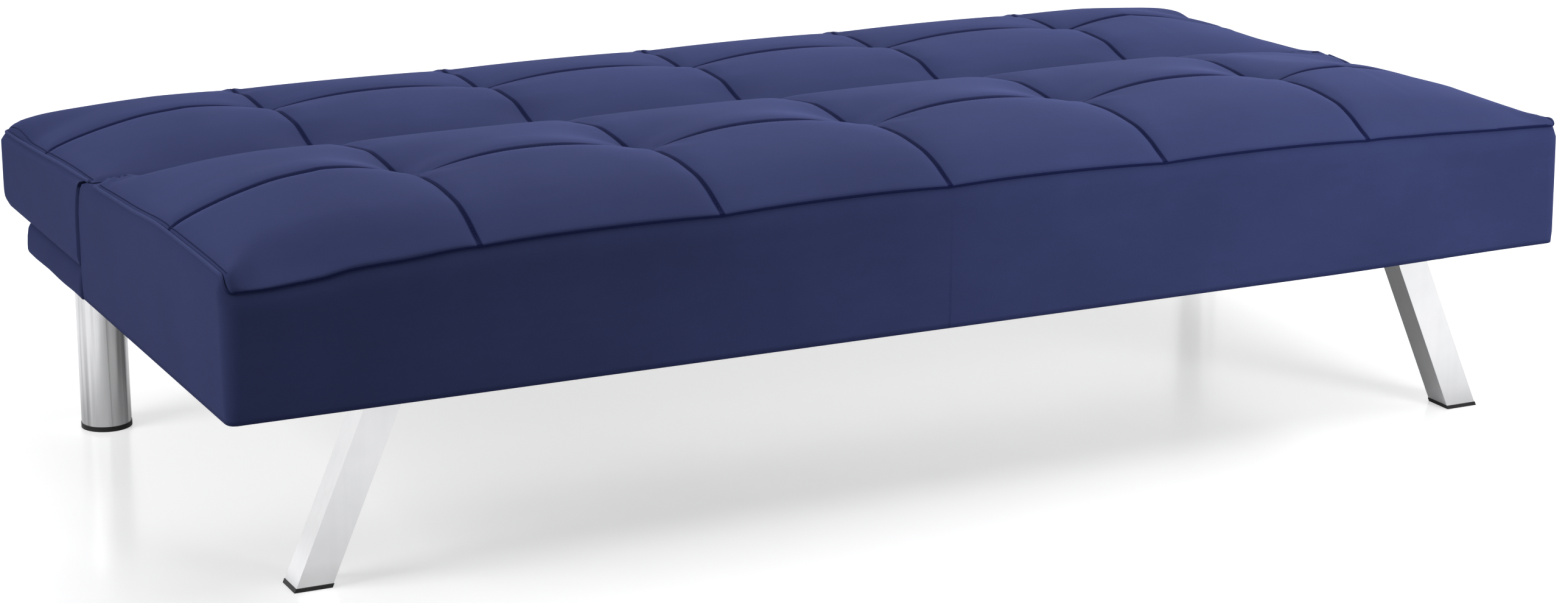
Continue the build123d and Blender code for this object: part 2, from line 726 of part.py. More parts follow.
all_pins = [(pin, pin_r), (pawl_pin, pawl_pin_r), (rivet, rivet_r)]
eye = (pin, eye_r)
cheek_lugs = [eye, (pawl_pin, pawl_pin_r + pawl_rim), (rivet, rivet_r + rivet_rim)]
seat_feet = [(seat_screws[0], seat_foot_r), (seat_screws[-1], seat_foot_r)]
arm_bend = (knee, arm_knee_r)
arm_feet = [(arm_screws[0], arm_foot_r), (arm_screws[-1], arm_foot_r)]

# Ratchet: teeth round the hinge pin, one gap under the pawl at each position.
first_gap = pawl_side - open_angle
ratchet = [pin]
for k in range(tooth_count):
    tooth = first_gap + (k - 0.5) * tooth_pitch
    ratchet += [polar(pin, ratchet_tip_r, tooth - tooth_tip),
                polar(pin, ratchet_tip_r, tooth + tooth_tip)]
    if k < tooth_count - 1:
        gap = tooth + tooth_pitch / 2
        ratchet += [polar(pin, ratchet_root_r, gap - tooth_gap),
                    polar(pin, ratchet_root_r, gap + tooth_gap)]

# Pawl: drawn engaged, then let down by its throw to the released position.
neck = polar(pin, ratchet_tip_r + pawl_neck_r + neck_gap, pawl_side)


def nose_side(sign):
    """Points along one side of the nose, from its tip to its root."""
    steps = [(ratchet_root_r + nose_gap, nose_tip_w), (ratchet_tip_r + nose_gap, nose_waist_w),
             (neck_r, nose_root_w)]
    return [polar(pin, hypot(radius, width / 2),
                  pawl_side + sign * degrees(atan2(width / 2, radius)))
            for radius, width in steps]


neck_r = ratchet_tip_r + neck_gap + pawl_neck_r
nose = nose_side(-1)[::-1] + nose_side(1)
neck_down = turned(neck, pawl_pin, -pawl_throw)
nose_down = [turned(p, pawl_pin, -pawl_throw) for p in nose]

# Leaf spring: from the rivet up to the underside of the released pawl, halfway along it.
reach = hypot(neck_down[0] - pawl_pin[0], neck_down[1] - pawl_pin[1])
along = ((neck_down[0] - pawl_pin[0]) / reach, (neck_down[1] - pawl_pin[1]) / reach)
under = (pawl_eye_r + pawl_neck_r) / 2 + spring_t / 2 + 2 * fit_gap
spring_tip = (pawl_pin[0] + along[0] * reach / 2 + along[1] * under,
              pawl_pin[1] + along[1] * reach / 2 - along[0] * under)
spring_foot = (rivet[0] - spring_tail, rivet[1] + rivet_r + spring_t / 2 + fit_gap)
spring_mid = ((rivet[0] + spring_tip[0]) / 2, spring_foot[1] + spring_bow)

for name, side in sides.items():
    with BuildPart() as hinge_outer_cheek:
        add(plate(cheek_x, cheek_t, [eye, *seat_feet], pins=all_pins, screws=seat_screws))
    write(both_sides(hinge_outer_cheek.part, side), f"hinge_outer_cheek_{name}")

    with BuildPart() as hinge_inner_cheek:
        add(plate(pack_x, cheek_t, cheek_lugs, pins=all_pins))
    write(both_sides(hinge_inner_cheek.part, side), f"hinge_inner_cheek_{name}")

    with BuildPart() as hinge_arm:
        add(plate(arm_in_x, arm_t, [eye, arm_bend], [arm_bend, arm_feet[0]], arm_feet,
                  outlines=[ratchet], bores=[(pin, pin_r)], screws=arm_screws))
    write(both_sides(hinge_arm.part, side), f"hinge_arm_{name}")

    with BuildPart() as hinge_pawl:
        add(plate(arm_in_x, arm_t, [(pawl_pin, pawl_eye_r), (neck_down, pawl_neck_r)],
                  outlines=[nose_down], bores=[(pawl_pin, pawl_pin_r)]))
    write(both_sides(hinge_pawl.part, side), f"hinge_pawl_{name}")

    with BuildPart() as hinge_pawl_spring:
        with BuildSketch(Plane.YZ.offset(arm_in_x + (arm_t - spring_w) / 2)):
            with BuildLine():
                ThreePointArc(spring_foot, spring_mid, spring_tip)
            trace(line_width=spring_t)
        extrude(amount=spring_w)
    write(both_sides(hinge_pawl_spring.part, side), f"hinge_pawl_spring_{name}")

    # Hinge pin, pawl pin and spring rivet, headed on the inside.
    with BuildPart() as hinge_pins:
        for centre, r in all_pins:
            with BuildSketch(Plane.YZ.offset(pack_x)):
                with Locations(centre):
                    RegularPolygon(r, pin_sides)
            extrude(amount=board_in_x - pack_x)
            with BuildSketch(Plane.YZ.offset(pack_x)):
                with Locations(centre):
                    RegularPolygon(r + pin_head_lip, pin_sides)
            extrude(amount=-pin_head_h)
    write(both_sides(hinge_pins.part, side), f"hinge_pins_{name}")

for label, spots, face in (("hinge_seat_screws", seat_screws, cheek_x),
                           ("hinge_back_screws", arm_screws, arm_in_x)):
    with BuildPart() as screws:
        with BuildSketch(Plane.YZ.offset(face)):
            with Locations(*spots):
                RegularPolygon(screw_r, shank_sides)
        extrude(amount=screw_grip)
        with BuildSketch(Plane.YZ.offset(face)):
            with Locations(*spots):
                RegularPolygon(screw_head_r, 6)
        extrude(amount=-screw_head_h)
        mirror(about=Plane.YZ)
    write(screws.part, label)
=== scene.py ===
# %% [markdown]
# An armless sofa bed, laid flat. The seat and the folding back are two long
# cushions, each sewn into six columns and two rows of panels and pulled deep
# where the seams cross. They stand on a timber base with two splayed square
# legs in front and two round ones behind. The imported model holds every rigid
# piece; this script gives those their finishes and makes the soft pieces.

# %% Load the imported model
import bpy
import math
import numpy as np
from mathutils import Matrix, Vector


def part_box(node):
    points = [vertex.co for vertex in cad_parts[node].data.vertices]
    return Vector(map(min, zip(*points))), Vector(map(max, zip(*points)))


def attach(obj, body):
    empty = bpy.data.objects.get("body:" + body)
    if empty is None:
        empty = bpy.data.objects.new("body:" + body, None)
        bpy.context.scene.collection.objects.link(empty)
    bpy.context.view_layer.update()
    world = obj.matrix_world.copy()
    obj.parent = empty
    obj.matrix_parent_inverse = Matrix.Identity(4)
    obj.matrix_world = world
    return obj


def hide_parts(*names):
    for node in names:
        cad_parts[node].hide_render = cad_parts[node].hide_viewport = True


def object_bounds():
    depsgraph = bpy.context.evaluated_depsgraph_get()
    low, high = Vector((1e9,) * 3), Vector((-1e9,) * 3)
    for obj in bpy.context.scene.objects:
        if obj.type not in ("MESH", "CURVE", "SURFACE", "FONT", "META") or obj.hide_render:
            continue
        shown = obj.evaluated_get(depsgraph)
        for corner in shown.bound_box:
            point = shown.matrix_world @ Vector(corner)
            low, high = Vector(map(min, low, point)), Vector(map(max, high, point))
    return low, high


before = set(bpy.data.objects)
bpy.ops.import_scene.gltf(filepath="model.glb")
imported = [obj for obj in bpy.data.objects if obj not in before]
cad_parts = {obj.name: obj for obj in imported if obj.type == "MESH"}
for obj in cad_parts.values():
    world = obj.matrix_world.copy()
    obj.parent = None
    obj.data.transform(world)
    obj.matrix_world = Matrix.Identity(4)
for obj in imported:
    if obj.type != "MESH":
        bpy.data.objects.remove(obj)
cad_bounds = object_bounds()
scene = bpy.context.scene

# %% [markdown]
# Where things are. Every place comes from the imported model's own boxes, so the
# soft pieces follow it. Distances from the front are measured back from the
# seat's piping, the frontmost thing on the bed.

# %% Places
def corners(node):
    """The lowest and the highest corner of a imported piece."""
    return [np.array(corner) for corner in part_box(node)]


low, high = (np.array(corner) for corner in cad_bounds)
front = low[1]
seat_low, seat_high = corners("seat_cover")
back_low, back_high = corners("back_cover")
columns = 6
pitch = (high[0] - low[0]) / columns
half_length = seat_high[0]
seam_x = [(i - columns / 2) * pitch for i in range(1, columns)]
hem_droop = 0.0022
skirt_z = seat_low[2] - hem_droop
rail_top = corners("base_front_rail")[1][2]
print("seams between columns at x =", [round(x, 3) for x in seam_x])

# %% [markdown]
# The camera stands at the left front, a little above the bed. A long lens
# keeps the far end nearly as large as the near one, as in a catalogue. The
# small shift puts the optical axis where the framing needs it.

# %% Camera
camera_data = bpy.data.cameras.new("camera")
camera_data.lens = 82.0
camera_data.sensor_width = 36.0
camera_data.shift_x = 0.0024
camera_data.shift_y = -0.0136
camera = bpy.data.objects.new("camera", camera_data)
camera.location = (-1.866, -3.827, 1.309)
turn, tilt = math.radians(26.09), math.radians(15.22)
camera.rotation_euler = (math.pi / 2 - tilt, 0, -turn)
scene.collection.objects.link(camera)
scene.camera = camera
print("camera at", tuple(camera.location))

# %% [markdown]
# Node trees are written as sums. A Wire stands for a socket's value; adding or
# multiplying Wires adds the Math nodes. A Wiring owns one tree, and its node()
# call makes any node: first its settings, then what goes into its sockets. A
# Finish is the wiring of one material.

# %% Node helpers
class Wire:
    """A value in a node tree; operators on it add Math nodes."""

    def __init__(self, wiring, socket):
        self.wiring, self.socket = wiring, socket

    def __add__(self, other):
        return self.wiring.maths("ADD", self, other)

    def __sub__(self, other):
        return self.wiring.maths("SUBTRACT", self, other)

    def __rsub__(self, other):
        return self.wiring.maths("SUBTRACT", other, self)

    def __mul__(self, other):
        return self.wiring.maths("MULTIPLY", self, other)

    __radd__ = __add__
    __rmul__ = __mul__


class Wiring:
    """A node tree that is filled one node at a time."""

    def __init__(self, tree):
        self.tree = tree

    def join(self, value, socket):
        if isinstance(value, Wire):
            self.tree.links.new(value.socket, socket)
        elif value is not None:
            socket.default_value = value

    def node(self, kind, settings=None, *values, output=0, **named):
        """Any node; values go to its sockets in order, the rest by name."""
        node = self.tree.nodes.new(kind)
        for key, value in (settings or {}).items():
            setattr(node, key, value)
        for socket, value in zip(node.inputs, values):
            self.join(value, socket)
        for name, value in named.items():
            self.join(value, node.inputs[name.replace("_", " ")])
        return Wire(self, node.outputs[output])

    def maths(self, operation, *values):
        return self.node("ShaderNodeMath", {"operation": operation}, *values)

    def rays(self):
        """1 for what the camera sees directly, and 1 for what is seen in a mirror."""
        return [self.node("ShaderNodeLightPath", output=name)
                for name in ("Is Camera Ray", "Is Glossy Ray")]


class Finish(Wiring):
    """A material with one Principled surface whose constants are set here."""

    def __init__(self, name, **constants):
        self.material = bpy.data.materials.new(name)
        self.material.use_nodes = True
        super().__init__(self.material.node_tree)
        self.surface = self.tree.nodes["Principled BSDF"]
        for socket, value in constants.items():
            self.surface.inputs[socket.replace("_", " ")].default_value = value

    def place(self, stretch=(1, 1, 1)):
        """Object coordinates, stretched."""
        where = self.node("ShaderNodeTexCoord", output=3)
        return self.node("ShaderNodeMapping", Vector=where, Scale=stretch)

    def across_and_along(self):
        """The two level object coordinates."""
        split = self.node("ShaderNodeSeparateXYZ", Vector=self.place()).socket.node
        return Wire(self, split.outputs[0]), Wire(self, split.outputs[1])

    def noise(self, scale, detail=2.0, rough=0.5, stretch=(1, 1, 1)):
        """Noise between 0 and 1 in object coordinates."""
        return self.node("ShaderNodeTexNoise", Vector=self.place(stretch), Scale=scale,
                         Detail=detail, Roughness=rough)

    def ramp(self, value, start, end, low=0.0, high=1.0):
        """The value from start to end, spread between low and high."""
        return self.node("ShaderNodeMapRange", None, value, start, end, low, high)

    def blend(self, amount, first, second):
        """Two colours mixed by amount; a plain colour is three numbers."""
        pair = [(*colour, 1) if isinstance(colour, tuple) else colour for colour in (first, second)]
        unused = [None] * 5
        return self.node("ShaderNodeMix", {"data_type": "RGBA"}, amount, *unused, *pair, output=2)

    def surfaced(self, colour, rough, relief=None, depth=None):
        """The material, once its surface has colour, roughness and relief (depth in metres)."""
        self.join(colour, self.surface.inputs["Base Color"])
        self.join(rough, self.surface.inputs["Roughness"])
        if relief:
            normal = self.node("ShaderNodeBump", Height=relief, Distance=depth)
            self.join(normal, self.surface.inputs["Normal"])
        return self.material


print("node helpers ready")

# %% [markdown]
# Navy microfibre. Its nap is brushed, so the colour drifts softly and catches
# the light at glancing angles, which is what sheen is for. The nap itself is
# far too fine to model, so noise in three sizes stands for it. The attribute
# "seam" mixes in a dark navy and is stored on the mesh. In the stitched
# channels it is partly the crushed nap and partly painted shade of the narrow
# grooves, so the dark lines lie exactly on the sewn ones. Along the cushions'
# rims and hems, on the piping and over the base wrap it is painted shade.

# %% Fabric
# The dark navy of the seams, also used for painted shade.
seam_and_painted_shade_navy = (0.003, 0.006, 0.046)


def microfibre(name, colour):
    """Brushed cloth in one colour, darker along its seams and wherever shade is painted."""
    cloth = Finish(name, Sheen_Weight=0.16, Sheen_Roughness=0.40,
                   Sheen_Tint=(0.30, 0.36, 0.95, 1), Specular_IOR_Level=0.12)
    drift = cloth.noise(5.5, 3.0, 0.55)
    brushed = cloth.noise(60.0, 3.0, 0.6, (0.35, 1.0, 1.0))
    fibre = cloth.noise(900.0, 2.0, 0.7)
    shade = cloth.ramp(drift, 0.3, 0.7, 0.92, 1.08) * cloth.ramp(brushed, 0.3, 0.7, 0.96, 1.04)
    shade = shade * cloth.ramp(fibre, 0.2, 0.8, 0.93, 1.07)
    tone = cloth.node("ShaderNodeVectorMath", {"operation": "SCALE"}, colour, Scale=shade)
    # The seam attribute: seam lines that are partly painted shade, and painted shade.
    seam = cloth.node("ShaderNodeAttribute", {"attribute_name": "seam"}, output=2)
    return cloth.surfaced(cloth.blend(seam, tone, seam_and_painted_shade_navy),
                          cloth.ramp(brushed, 0.2, 0.8, 0.80, 0.92),
                          fibre + brushed * 0.6, 0.00022)


navy = microfibre("navy_microfibre", (0.042, 0.054, 0.152))
# The piping's cloth is painted a little lighter than the cushions': a painted highlight along the
# cord.
piping_painted_highlight = microfibre("navy_piping", (0.053, 0.067, 0.178))
print(navy.name, piping_painted_highlight.name)

# %% [markdown]
# The hard finishes. Chrome is a nearly white metal with faint polishing lines
# and fingerprints; a steel finish is duller and mottled; moulded plastic has a
# fine grain; timber is rings and pores stretched along each board. Each is one
# or two noises read through ramps. They sit in the object's own space, so
# nothing has to be unwrapped and no two legs or boards look alike.

# %% Metal, plastic and timber
def darker(colour, share):
    return tuple(c * share for c in colour)


def chrome_plate(name, painted_streak_share):
    """Bright plating, with a share of dark lengthwise streaks painted into its colour as painted
    reflections.
    """
    chrome = Finish(name, Metallic=1.0)
    lengthwise = (1, 1, 0.02)
    smear = chrome.noise(9.0, 4.0, 0.6)
    lines = chrome.noise(240.0, stretch=lengthwise)
    plate = chrome.blend(chrome.ramp(smear, 0.3, 0.8), (0.84, 0.84, 0.85), (0.74, 0.745, 0.76))
    # Dark lengthwise streaks painted into the colour: painted reflections.
    painted_reflection_streaks = chrome.ramp(chrome.noise(95.0, 2.0, 0.6, lengthwise), 0.44, 0.62, 0, painted_streak_share)
    return chrome.surfaced(chrome.blend(painted_reflection_streaks, plate, (0.36, 0.36, 0.37)),
                           chrome.ramp(smear, 0.35, 0.7, 0.05, 0.11) + lines * 0.02)


def steel(name, colour, rough):
    """Dull plated or pressed steel."""
    metal = Finish(name, Metallic=1.0)
    patch = metal.noise(45.0, 4.0, 0.65)
    return metal.surfaced(metal.blend(metal.ramp(patch, 0.3, 0.7), colour, darker(colour, 0.8)),
                          metal.ramp(patch, 0.2, 0.8, rough - 0.06, rough + 0.08),
                          metal.noise(600.0), 0.00006)


def black_moulding():
    plastic = Finish("black_plastic", Specular_IOR_Level=0.4)
    grain = plastic.noise(500.0)
    black = plastic.blend(plastic.noise(30.0, 3.0), (0.010, 0.010, 0.011), (0.019, 0.019, 0.021))
    return plastic.surfaced(black, plastic.ramp(grain, 0.2, 0.8, 0.42, 0.58), grain, 0.00008)


def planed_timber():
    timber = Finish("timber", Specular_IOR_Level=0.3)
    rings = timber.noise(38.0, 4.0, 0.6, (0.08, 1.0, 1.0))
    pores = timber.noise(420.0, 3.0, 0.6, (0.05, 1.0, 1.0))
    band = timber.maths("FRACT", rings * 7.0)
    pale = timber.blend(timber.ramp(band, 0.1, 0.95), (0.58, 0.42, 0.25), (0.40, 0.26, 0.13))
    grain = timber.blend(timber.ramp(pores, 0.55, 0.75, 0, 0.5), pale, (0.25, 0.15, 0.07))
    return timber.surfaced(grain, timber.ramp(pores, 0.3, 0.7, 0.62, 0.78),
                           band * 0.5 + pores, 0.0002)


print("hard finishes ready")

# %% [markdown]
# Webbing and lining are cloths too thin to model yarn by yarn, so two crossed
# waves weave or dimple their surface. The foam shows its cells.

# %% Webbing, lining and foam
def crossed_waves(finish, turns):
    """Two waves at right angles; turns is their angle per metre."""
    across, along = (finish.maths("SINE", way * turns) for way in finish.across_and_along())
    return across * along


def woven_band(name, colour, yarn_pitch):
    """Webbing: over-and-under yarns, a pitch apart."""
    band = Finish(name, Specular_IOR_Level=0.2, Sheen_Weight=0.2)
    yarn = crossed_waves(band, 2 * math.pi / yarn_pitch)
    return band.surfaced(band.blend(band.ramp(yarn, -1, 1), colour, darker(colour, 0.55)),
                         band.ramp(yarn, -1, 1, 0.75, 0.9), yarn, 0.0003)


def spunbond():
    """Thin black non-woven cloth, dimpled in a fine grid by its bonding roller."""
    felt = Finish("black_lining", Specular_IOR_Level=0.15, Sheen_Weight=0.15)
    cloud = felt.noise(70.0, 4.0, 0.7)
    black = felt.blend(felt.ramp(cloud, 0.3, 0.7), (0.012, 0.012, 0.013), (0.028, 0.028, 0.030))
    return felt.surfaced(black, felt.ramp(cloud, 0.3, 0.7, 0.8, 0.95),
                         crossed_waves(felt, 2100.0) * 0.4 + cloud, 0.0002)


def soft_foam():
    foam = Finish("foam", Specular_IOR_Level=0.1)
    cells = foam.node("ShaderNodeTexVoronoi", Vector=foam.place(), Scale=450.0)
    cream = foam.blend(foam.ramp(cells, 0.0, 0.6), (0.55, 0.50, 0.30), (0.78, 0.73, 0.50))
    return foam.surfaced(cream, foam.ramp(cells, 0, 1, 0.85, 0.97), cells, 0.0006)


finishes = {
    "navy_fabric": navy, "chrome": chrome_plate("chrome", 0.03), "timber": planed_timber(),
    "plate_steel": steel("black_plate_steel", (0.09, 0.09, 0.095), 0.42),
    "zinc_steel": steel("zinc_steel", (0.62, 0.63, 0.65), 0.32),
    "black_plastic": black_moulding(), "lining": spunbond(), "foam": soft_foam(),
    "webbing": woven_band("webbing", (0.055, 0.052, 0.05), 0.003),
}
# The rear legs' chrome, with strong painted reflection streaks.
painted_streak_chrome = chrome_plate("chrome_tube", 0.75)
print("finishes:", sorted(finishes))

# %% [markdown]
# Every rigid piece of the imported model keeps its shape and gets the finish
# that its material slot names. Its object's own slots are filled here. The
# round tubes of the rear legs get far more painted reflection streaks, dark
# lengthwise streaks in their colour, than the front legs do, and the hinges'
# plates are pressed from black steel.

# %% Finish the imported pieces
dressed = 0
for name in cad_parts:
    part = bpy.data.objects.get(name)
    if part is None or part.type != "MESH":
        continue
    for holder in part.material_slots:
        key = next((k for k in finishes if holder.material and k in holder.material.name), None)
        if key:
            hinge = name.startswith("hinge") and key == "zinc_steel"
            tube = name.startswith("rear_leg") and key == "chrome"
            holder.material = painted_streak_chrome if tube else finishes["plate_steel" if hinge else key]
            dressed += 1
print("packed pieces finished:", dressed)

# %% [markdown]
# Soft pieces are grids of points, worked out as arrays. A few helpers name a
# grid's faces, its border and the wall between two rings, and put the result
# into the scene as one smooth object.

# %% Mesh helpers
def numbered(shape):
    """The number of each point of a grid."""
    return np.arange(math.prod(shape)).reshape(shape)


def quads(index):
    """The faces between the points of a grid."""
    return np.stack([index[:-1, :-1], index[1:, :-1], index[1:, 1:], index[:-1, 1:]],
                    axis=-1).reshape(-1, 4)


def border(grid):
    """A grid's rim, anticlockwise from its first corner."""
    return np.concatenate([grid[:, 0], grid[-1, 1:], grid[-2::-1, -1], grid[0, -2:0:-1]])


def wall(above, below):
    """The faces between two closed rings of points."""
    return np.stack([above, below, np.roll(below, -1), np.roll(above, -1)], axis=1).tolist()


def new_piece(name, points, faces=(), material=None, seam=None, edges=(), smooth=True):
    """An object of the scene; seam is each point's share of the dark seam colour, which also paints
    shade.
    """
    mesh = bpy.data.meshes.new(name)
    mesh.from_pydata(np.reshape(points, (-1, 3)).tolist(), edges, faces)
    if smooth:
        mesh.shade_smooth()
    if material:
        mesh.materials.append(material)
    if seam is not None:
        mesh.attributes.new("seam", "FLOAT", "POINT").data.foreach_set("value", seam)
    piece = bpy.data.objects.new(name, mesh)
    scene.collection.objects.link(piece)
    return piece


def settled_mesh(piece):
    """The piece as its modifiers leave it, as a plain mesh."""
    seen = piece.evaluated_get(bpy.context.evaluated_depsgraph_get())
    return bpy.data.meshes.new_from_object(seen)


print("mesh helpers ready")

# %% [markdown]
# A cushion's top is a height above every point of its plan. Three lines down
# the bed shape it: the height along a column's seam, along the middle of a
# column, and along the end's piping. Between two seams the top swells from the
# seam line to the middle line, so the seams arch front to back, the panels
# dome, and only the crossings are pulled deep.

# %% Curves and grid lines
# Metres: the usual distance between grid lines, and the closer ones beside a seam.
grid_step = 0.007
beside_seam = np.array([0.0012, 0.0026, 0.0041, 0.006, 0.0085, 0.0125, 0.018])


def smooth_line(points):
    """A smooth curve through a few points (thousandths), as a function of plain units."""
    x, y = np.array(points, dtype=float).T / 1000
    slope = np.diff(y) / np.diff(x)
    before = np.concatenate((slope[:1], slope))
    after = np.concatenate((slope, slope[-1:]))
    both = before + after
    tangent = np.where(before * after > 0,
                       2 * before * after / np.where(both == 0, 1, both), 0)

    def value(at):
        at = np.clip(at, x[0], x[-1])
        i = np.clip(np.searchsorted(x, at, side="right") - 1, 0, len(x) - 2)
        h = x[i + 1] - x[i]
        t = (at - x[i]) / h
        return ((1 + 2 * t) * (1 - t) ** 2 * y[i] + t * (1 - t) ** 2 * h * tangent[i]
                + t * t * (3 - 2 * t) * y[i + 1] + t * t * (t - 1) * h * tangent[i + 1])
    return value


def ease(t):
    """0 to 1 with soft ends."""
    t = np.clip(t, 0, 1)
    return t * t * (3 - 2 * t)


def spread(start, end):
    """Grid lines from start to end, crowded together beside both seams."""
    reach = beside_seam[-1]
    middle = np.linspace(start + reach, end - reach, int(round((end - start) / grid_step)))
    return np.concatenate(([start], start + beside_seam[:-1], middle,
                           end - beside_seam[-2::-1], [end]))


def through(stops, between):
    """Grid lines that pass through every stop, filled in by between(start, end)."""
    parts = [between(a, b) for a, b in zip(stops, stops[1:])]
    return np.concatenate([parts[0]] + [part[1:] for part in parts[1:]])


print("lines over one column:", len(spread(0, pitch)))

# %% [markdown]
# The two end columns have no seam on their outer side: they swell from the
# piping. Over the way from the edge to the nearest seam, in thousandths, each
# line gives the share of the full height: a long soft slope at the left, a
# flatter one at the right, and a plump one at the back's far corners.

# %% How the end panels swell
end_peak = 0.62
soft_end = smooth_line([(0, 0), (60, 190), (150, 410), (300, 690), (450, 890), (620, 1000)])
flat_end = smooth_line([(0, 0), (60, 130), (150, 300), (300, 570), (450, 810), (620, 980)])
full_end = smooth_line([(0, 0), (25, 430), (60, 590), (150, 740), (300, 850), (450, 930),
                        (620, 1000)])
print("end panel heights:", soft_end(np.array([0.1, 0.3, 0.5])).round(2))

# %% [markdown]
# The cushion itself: a grid of points for the top, then rings of points that
# go down its walls, under the hem and back up inside to the ceiling over the
# boards. One closed skin stands for cover, wadding and foam together. The
# stitched channels could be cut afterwards, but a grid whose lines crowd
# together at the seams gives crisp valleys at once.

# %% Cushion maker
# A channel's depth, its half width at a column and at a row, and how sharply it opens.
groove, column_channel, row_channel, channel_edge = 0.0045, 0.020, 0.022, 2.6
# How round a panel is from seam to seam.
swell = 2.2
# The ways over which the right end falls, the far corners fill out and the rim flattens.
end_run, full_run, rim_run = 0.11, 0.08, 0.012
# The soft corners in plan: their radius, and how far along the bed they draw it in.
corner_radius, corner_band, corner_pull = 0.008, 0.060, 1.5
# Dark seam lines, partly painted shade in the grooves: half width and blur at a
# column and at a row, and the rim's painted shade.
column_mark, row_mark, rim_painted_shade = (0.0023, 0.0019), (0.0034, 0.0020), 0.8
# How far from the crease or the far edge an end wall begins to turn in, and how suddenly.
turn_run, turn_in = 0.1, 1.6


class Cushion:
    """One long padded cushion; y counts back from the middle of the bed."""

    def __init__(self, start, end, row, seam, middle, side, end_drop, sewn_front, edge_drop,
                 full_from):
        self.start, self.end, self.row = start, end, row
        self.seam, self.middle, self.side, self.end_drop = seam, middle, side, end_drop
        self.sewn_front, self.edge_drop, self.full_from = sewn_front, edge_drop, full_from
        self.x = through([-half_length, *seam_x, half_length], spread)
        self.y = through([start, row, end], spread)
        self.count = len(self.x), len(self.y)

    def height(self, x, y):
        """The top's height over the plan, without the stitched grooves."""
        seam, middle, side = self.seam(y - front), self.middle(y - front), self.side(y - front)
        across = np.abs(2 * np.mod(x / pitch, 1.0) - 1)
        between = seam + (middle - seam) * (1 - across ** swell)
        t = (half_length - np.abs(x)) / (half_length - seam_x[-1])
        share = np.where(x < 0, soft_end(t), flat_end(t))
        full = ease((y - self.full_from) / full_run)
        rising = side + (middle - side) * (share * (1 - full) + full_end(t) * full)
        falling = seam + (middle - seam) * (1 - np.abs((t - end_peak) / (1 - end_peak)) ** swell)
        outer = np.where(t < end_peak, rising, falling)
        right_end = self.end_drop(y - front) * ease((x - seam_x[-1]) / end_run)
        top = np.where(np.abs(x) <= seam_x[-1], between, outer)
        return top + self.edge_drop(x, y) - right_end

    def plan(self, x, y, radius=corner_radius):
        """Plan places, with the ends of the rows drawn in round the two soft corners."""
        depth = (y - self.start) if self.sewn_front else (self.end - y)
        depth = np.clip(radius - depth, 0, radius)
        inset = radius - np.sqrt(np.maximum(radius ** 2 - depth ** 2, 0))
        t = np.clip((np.abs(x) - (half_length - corner_band)) / corner_band, 0, 1)
        return x - np.sign(x) * t ** corner_pull * inset

    def rounded(self, edge, radius):
        """The border line again, with corners of another radius."""
        line = edge.copy()
        x, y = np.meshgrid(self.x, self.y, indexing="ij")
        line[:, 0] = border(self.plan(x, y, radius))
        return line

    def lay_out(self):
        """The top's points, with the stitched channels marked dark, partly as painted shade, and
        painted shade round the rim.
        """
        x, y = np.meshgrid(self.x, self.y, indexing="ij")
        near_column = np.min([np.abs(x - line) for line in seam_x], axis=0)
        near_row = np.abs(y - self.row)
        to_edge = np.minimum(half_length - np.abs(x), np.minimum(y - self.start, self.end - y))
        valley = np.maximum(np.clip(1 - near_column / column_channel, 0, 1) ** channel_edge,
                            np.clip(1 - near_row / row_channel, 0, 1) ** channel_edge)
        z = self.height(x, y) + groove * (1 - valley) * ease(to_edge / rim_run)
        # The row's dark line is moved onto the groove's far wall, further across each column:
        # painted shade where that wall lies in shade.
        groove_shade_lean = 0.0008 + 0.0022 * np.mod(x / pitch, 1.0)
        far_wall_shade = np.abs(y - self.row - groove_shade_lean)
        self.mark = np.maximum(*(ease(1 - (gap - half_width) / blur) for gap, (half_width, blur)
                                 in ((near_column, column_mark), (far_wall_shade, row_mark))))
        # Painted shade along the rim, where the top panel meets the piping.
        self.mark[[0, -1], :] = rim_painted_shade
        self.mark[:, [0, -1]] = rim_painted_shade
        self.bare = np.stack([self.plan(x, y), y, z], axis=-1)
        return self.overhang(self.bare.copy(), to_edge)

    def overhang(self, grid, to_edge):
        """The top panel bulges out over the piping before it turns inward."""
        peak_at, fades_over = 0.004, 0.015
        end_bulge, sewn_bulge, crease_bulge = 0.0012, 0.0085, 0.0022
        bulge = (to_edge / peak_at) * np.exp(1 - to_edge / peak_at)
        x, y = grid[..., 0], grid[..., 1]
        near = lambda gap: np.exp(-np.clip(gap, 0, 1) / fades_over)
        first, last = near(y - self.start), near(self.end - y)
        sewn, crease_side = (first, last) if self.sewn_front else (last, first)
        way = -1 if self.sewn_front else 1
        grid[..., 0] += np.sign(x) * bulge * end_bulge * near(half_length - np.abs(x))
        grid[..., 1] += way * bulge * (sewn_bulge * sewn - crease_bulge * crease_side)
        return grid

    def wall_lines(self):
        """Where the walls start, their outward directions, and 1 on the crease's side."""
        edge = border(self.bare)
        tangent = (np.roll(edge, -1, axis=0) - np.roll(edge, 1, axis=0))[:, :2]
        tangent /= np.linalg.norm(tangent, axis=1)[:, None]
        outward = np.stack([tangent[:, 1], -tangent[:, 0]], axis=1)
        nx, ny = self.count
        at_crease = slice(nx + ny - 2, 2 * nx + ny - 2) if self.sewn_front else slice(0, nx)
        outward[at_crease] = 0
        ends = np.arange(len(edge))[at_crease][[0, -1]]
        outward[ends, 0] = np.sign(edge[ends, 0])
        for k in ends:
            for neighbour in ((k - 1) % len(edge), (k + 1) % len(edge)):
                if abs(edge[neighbour, 0]) > half_length - 1e-6:
                    outward[neighbour] = (np.sign(edge[k, 0]), 0)
        gap = (self.end - edge[:, 1]) if self.sewn_front else (edge[:, 1] - self.start)
        return edge, outward, np.clip(1 - gap / turn_run, 0, 1)


print("cushion maker ready")

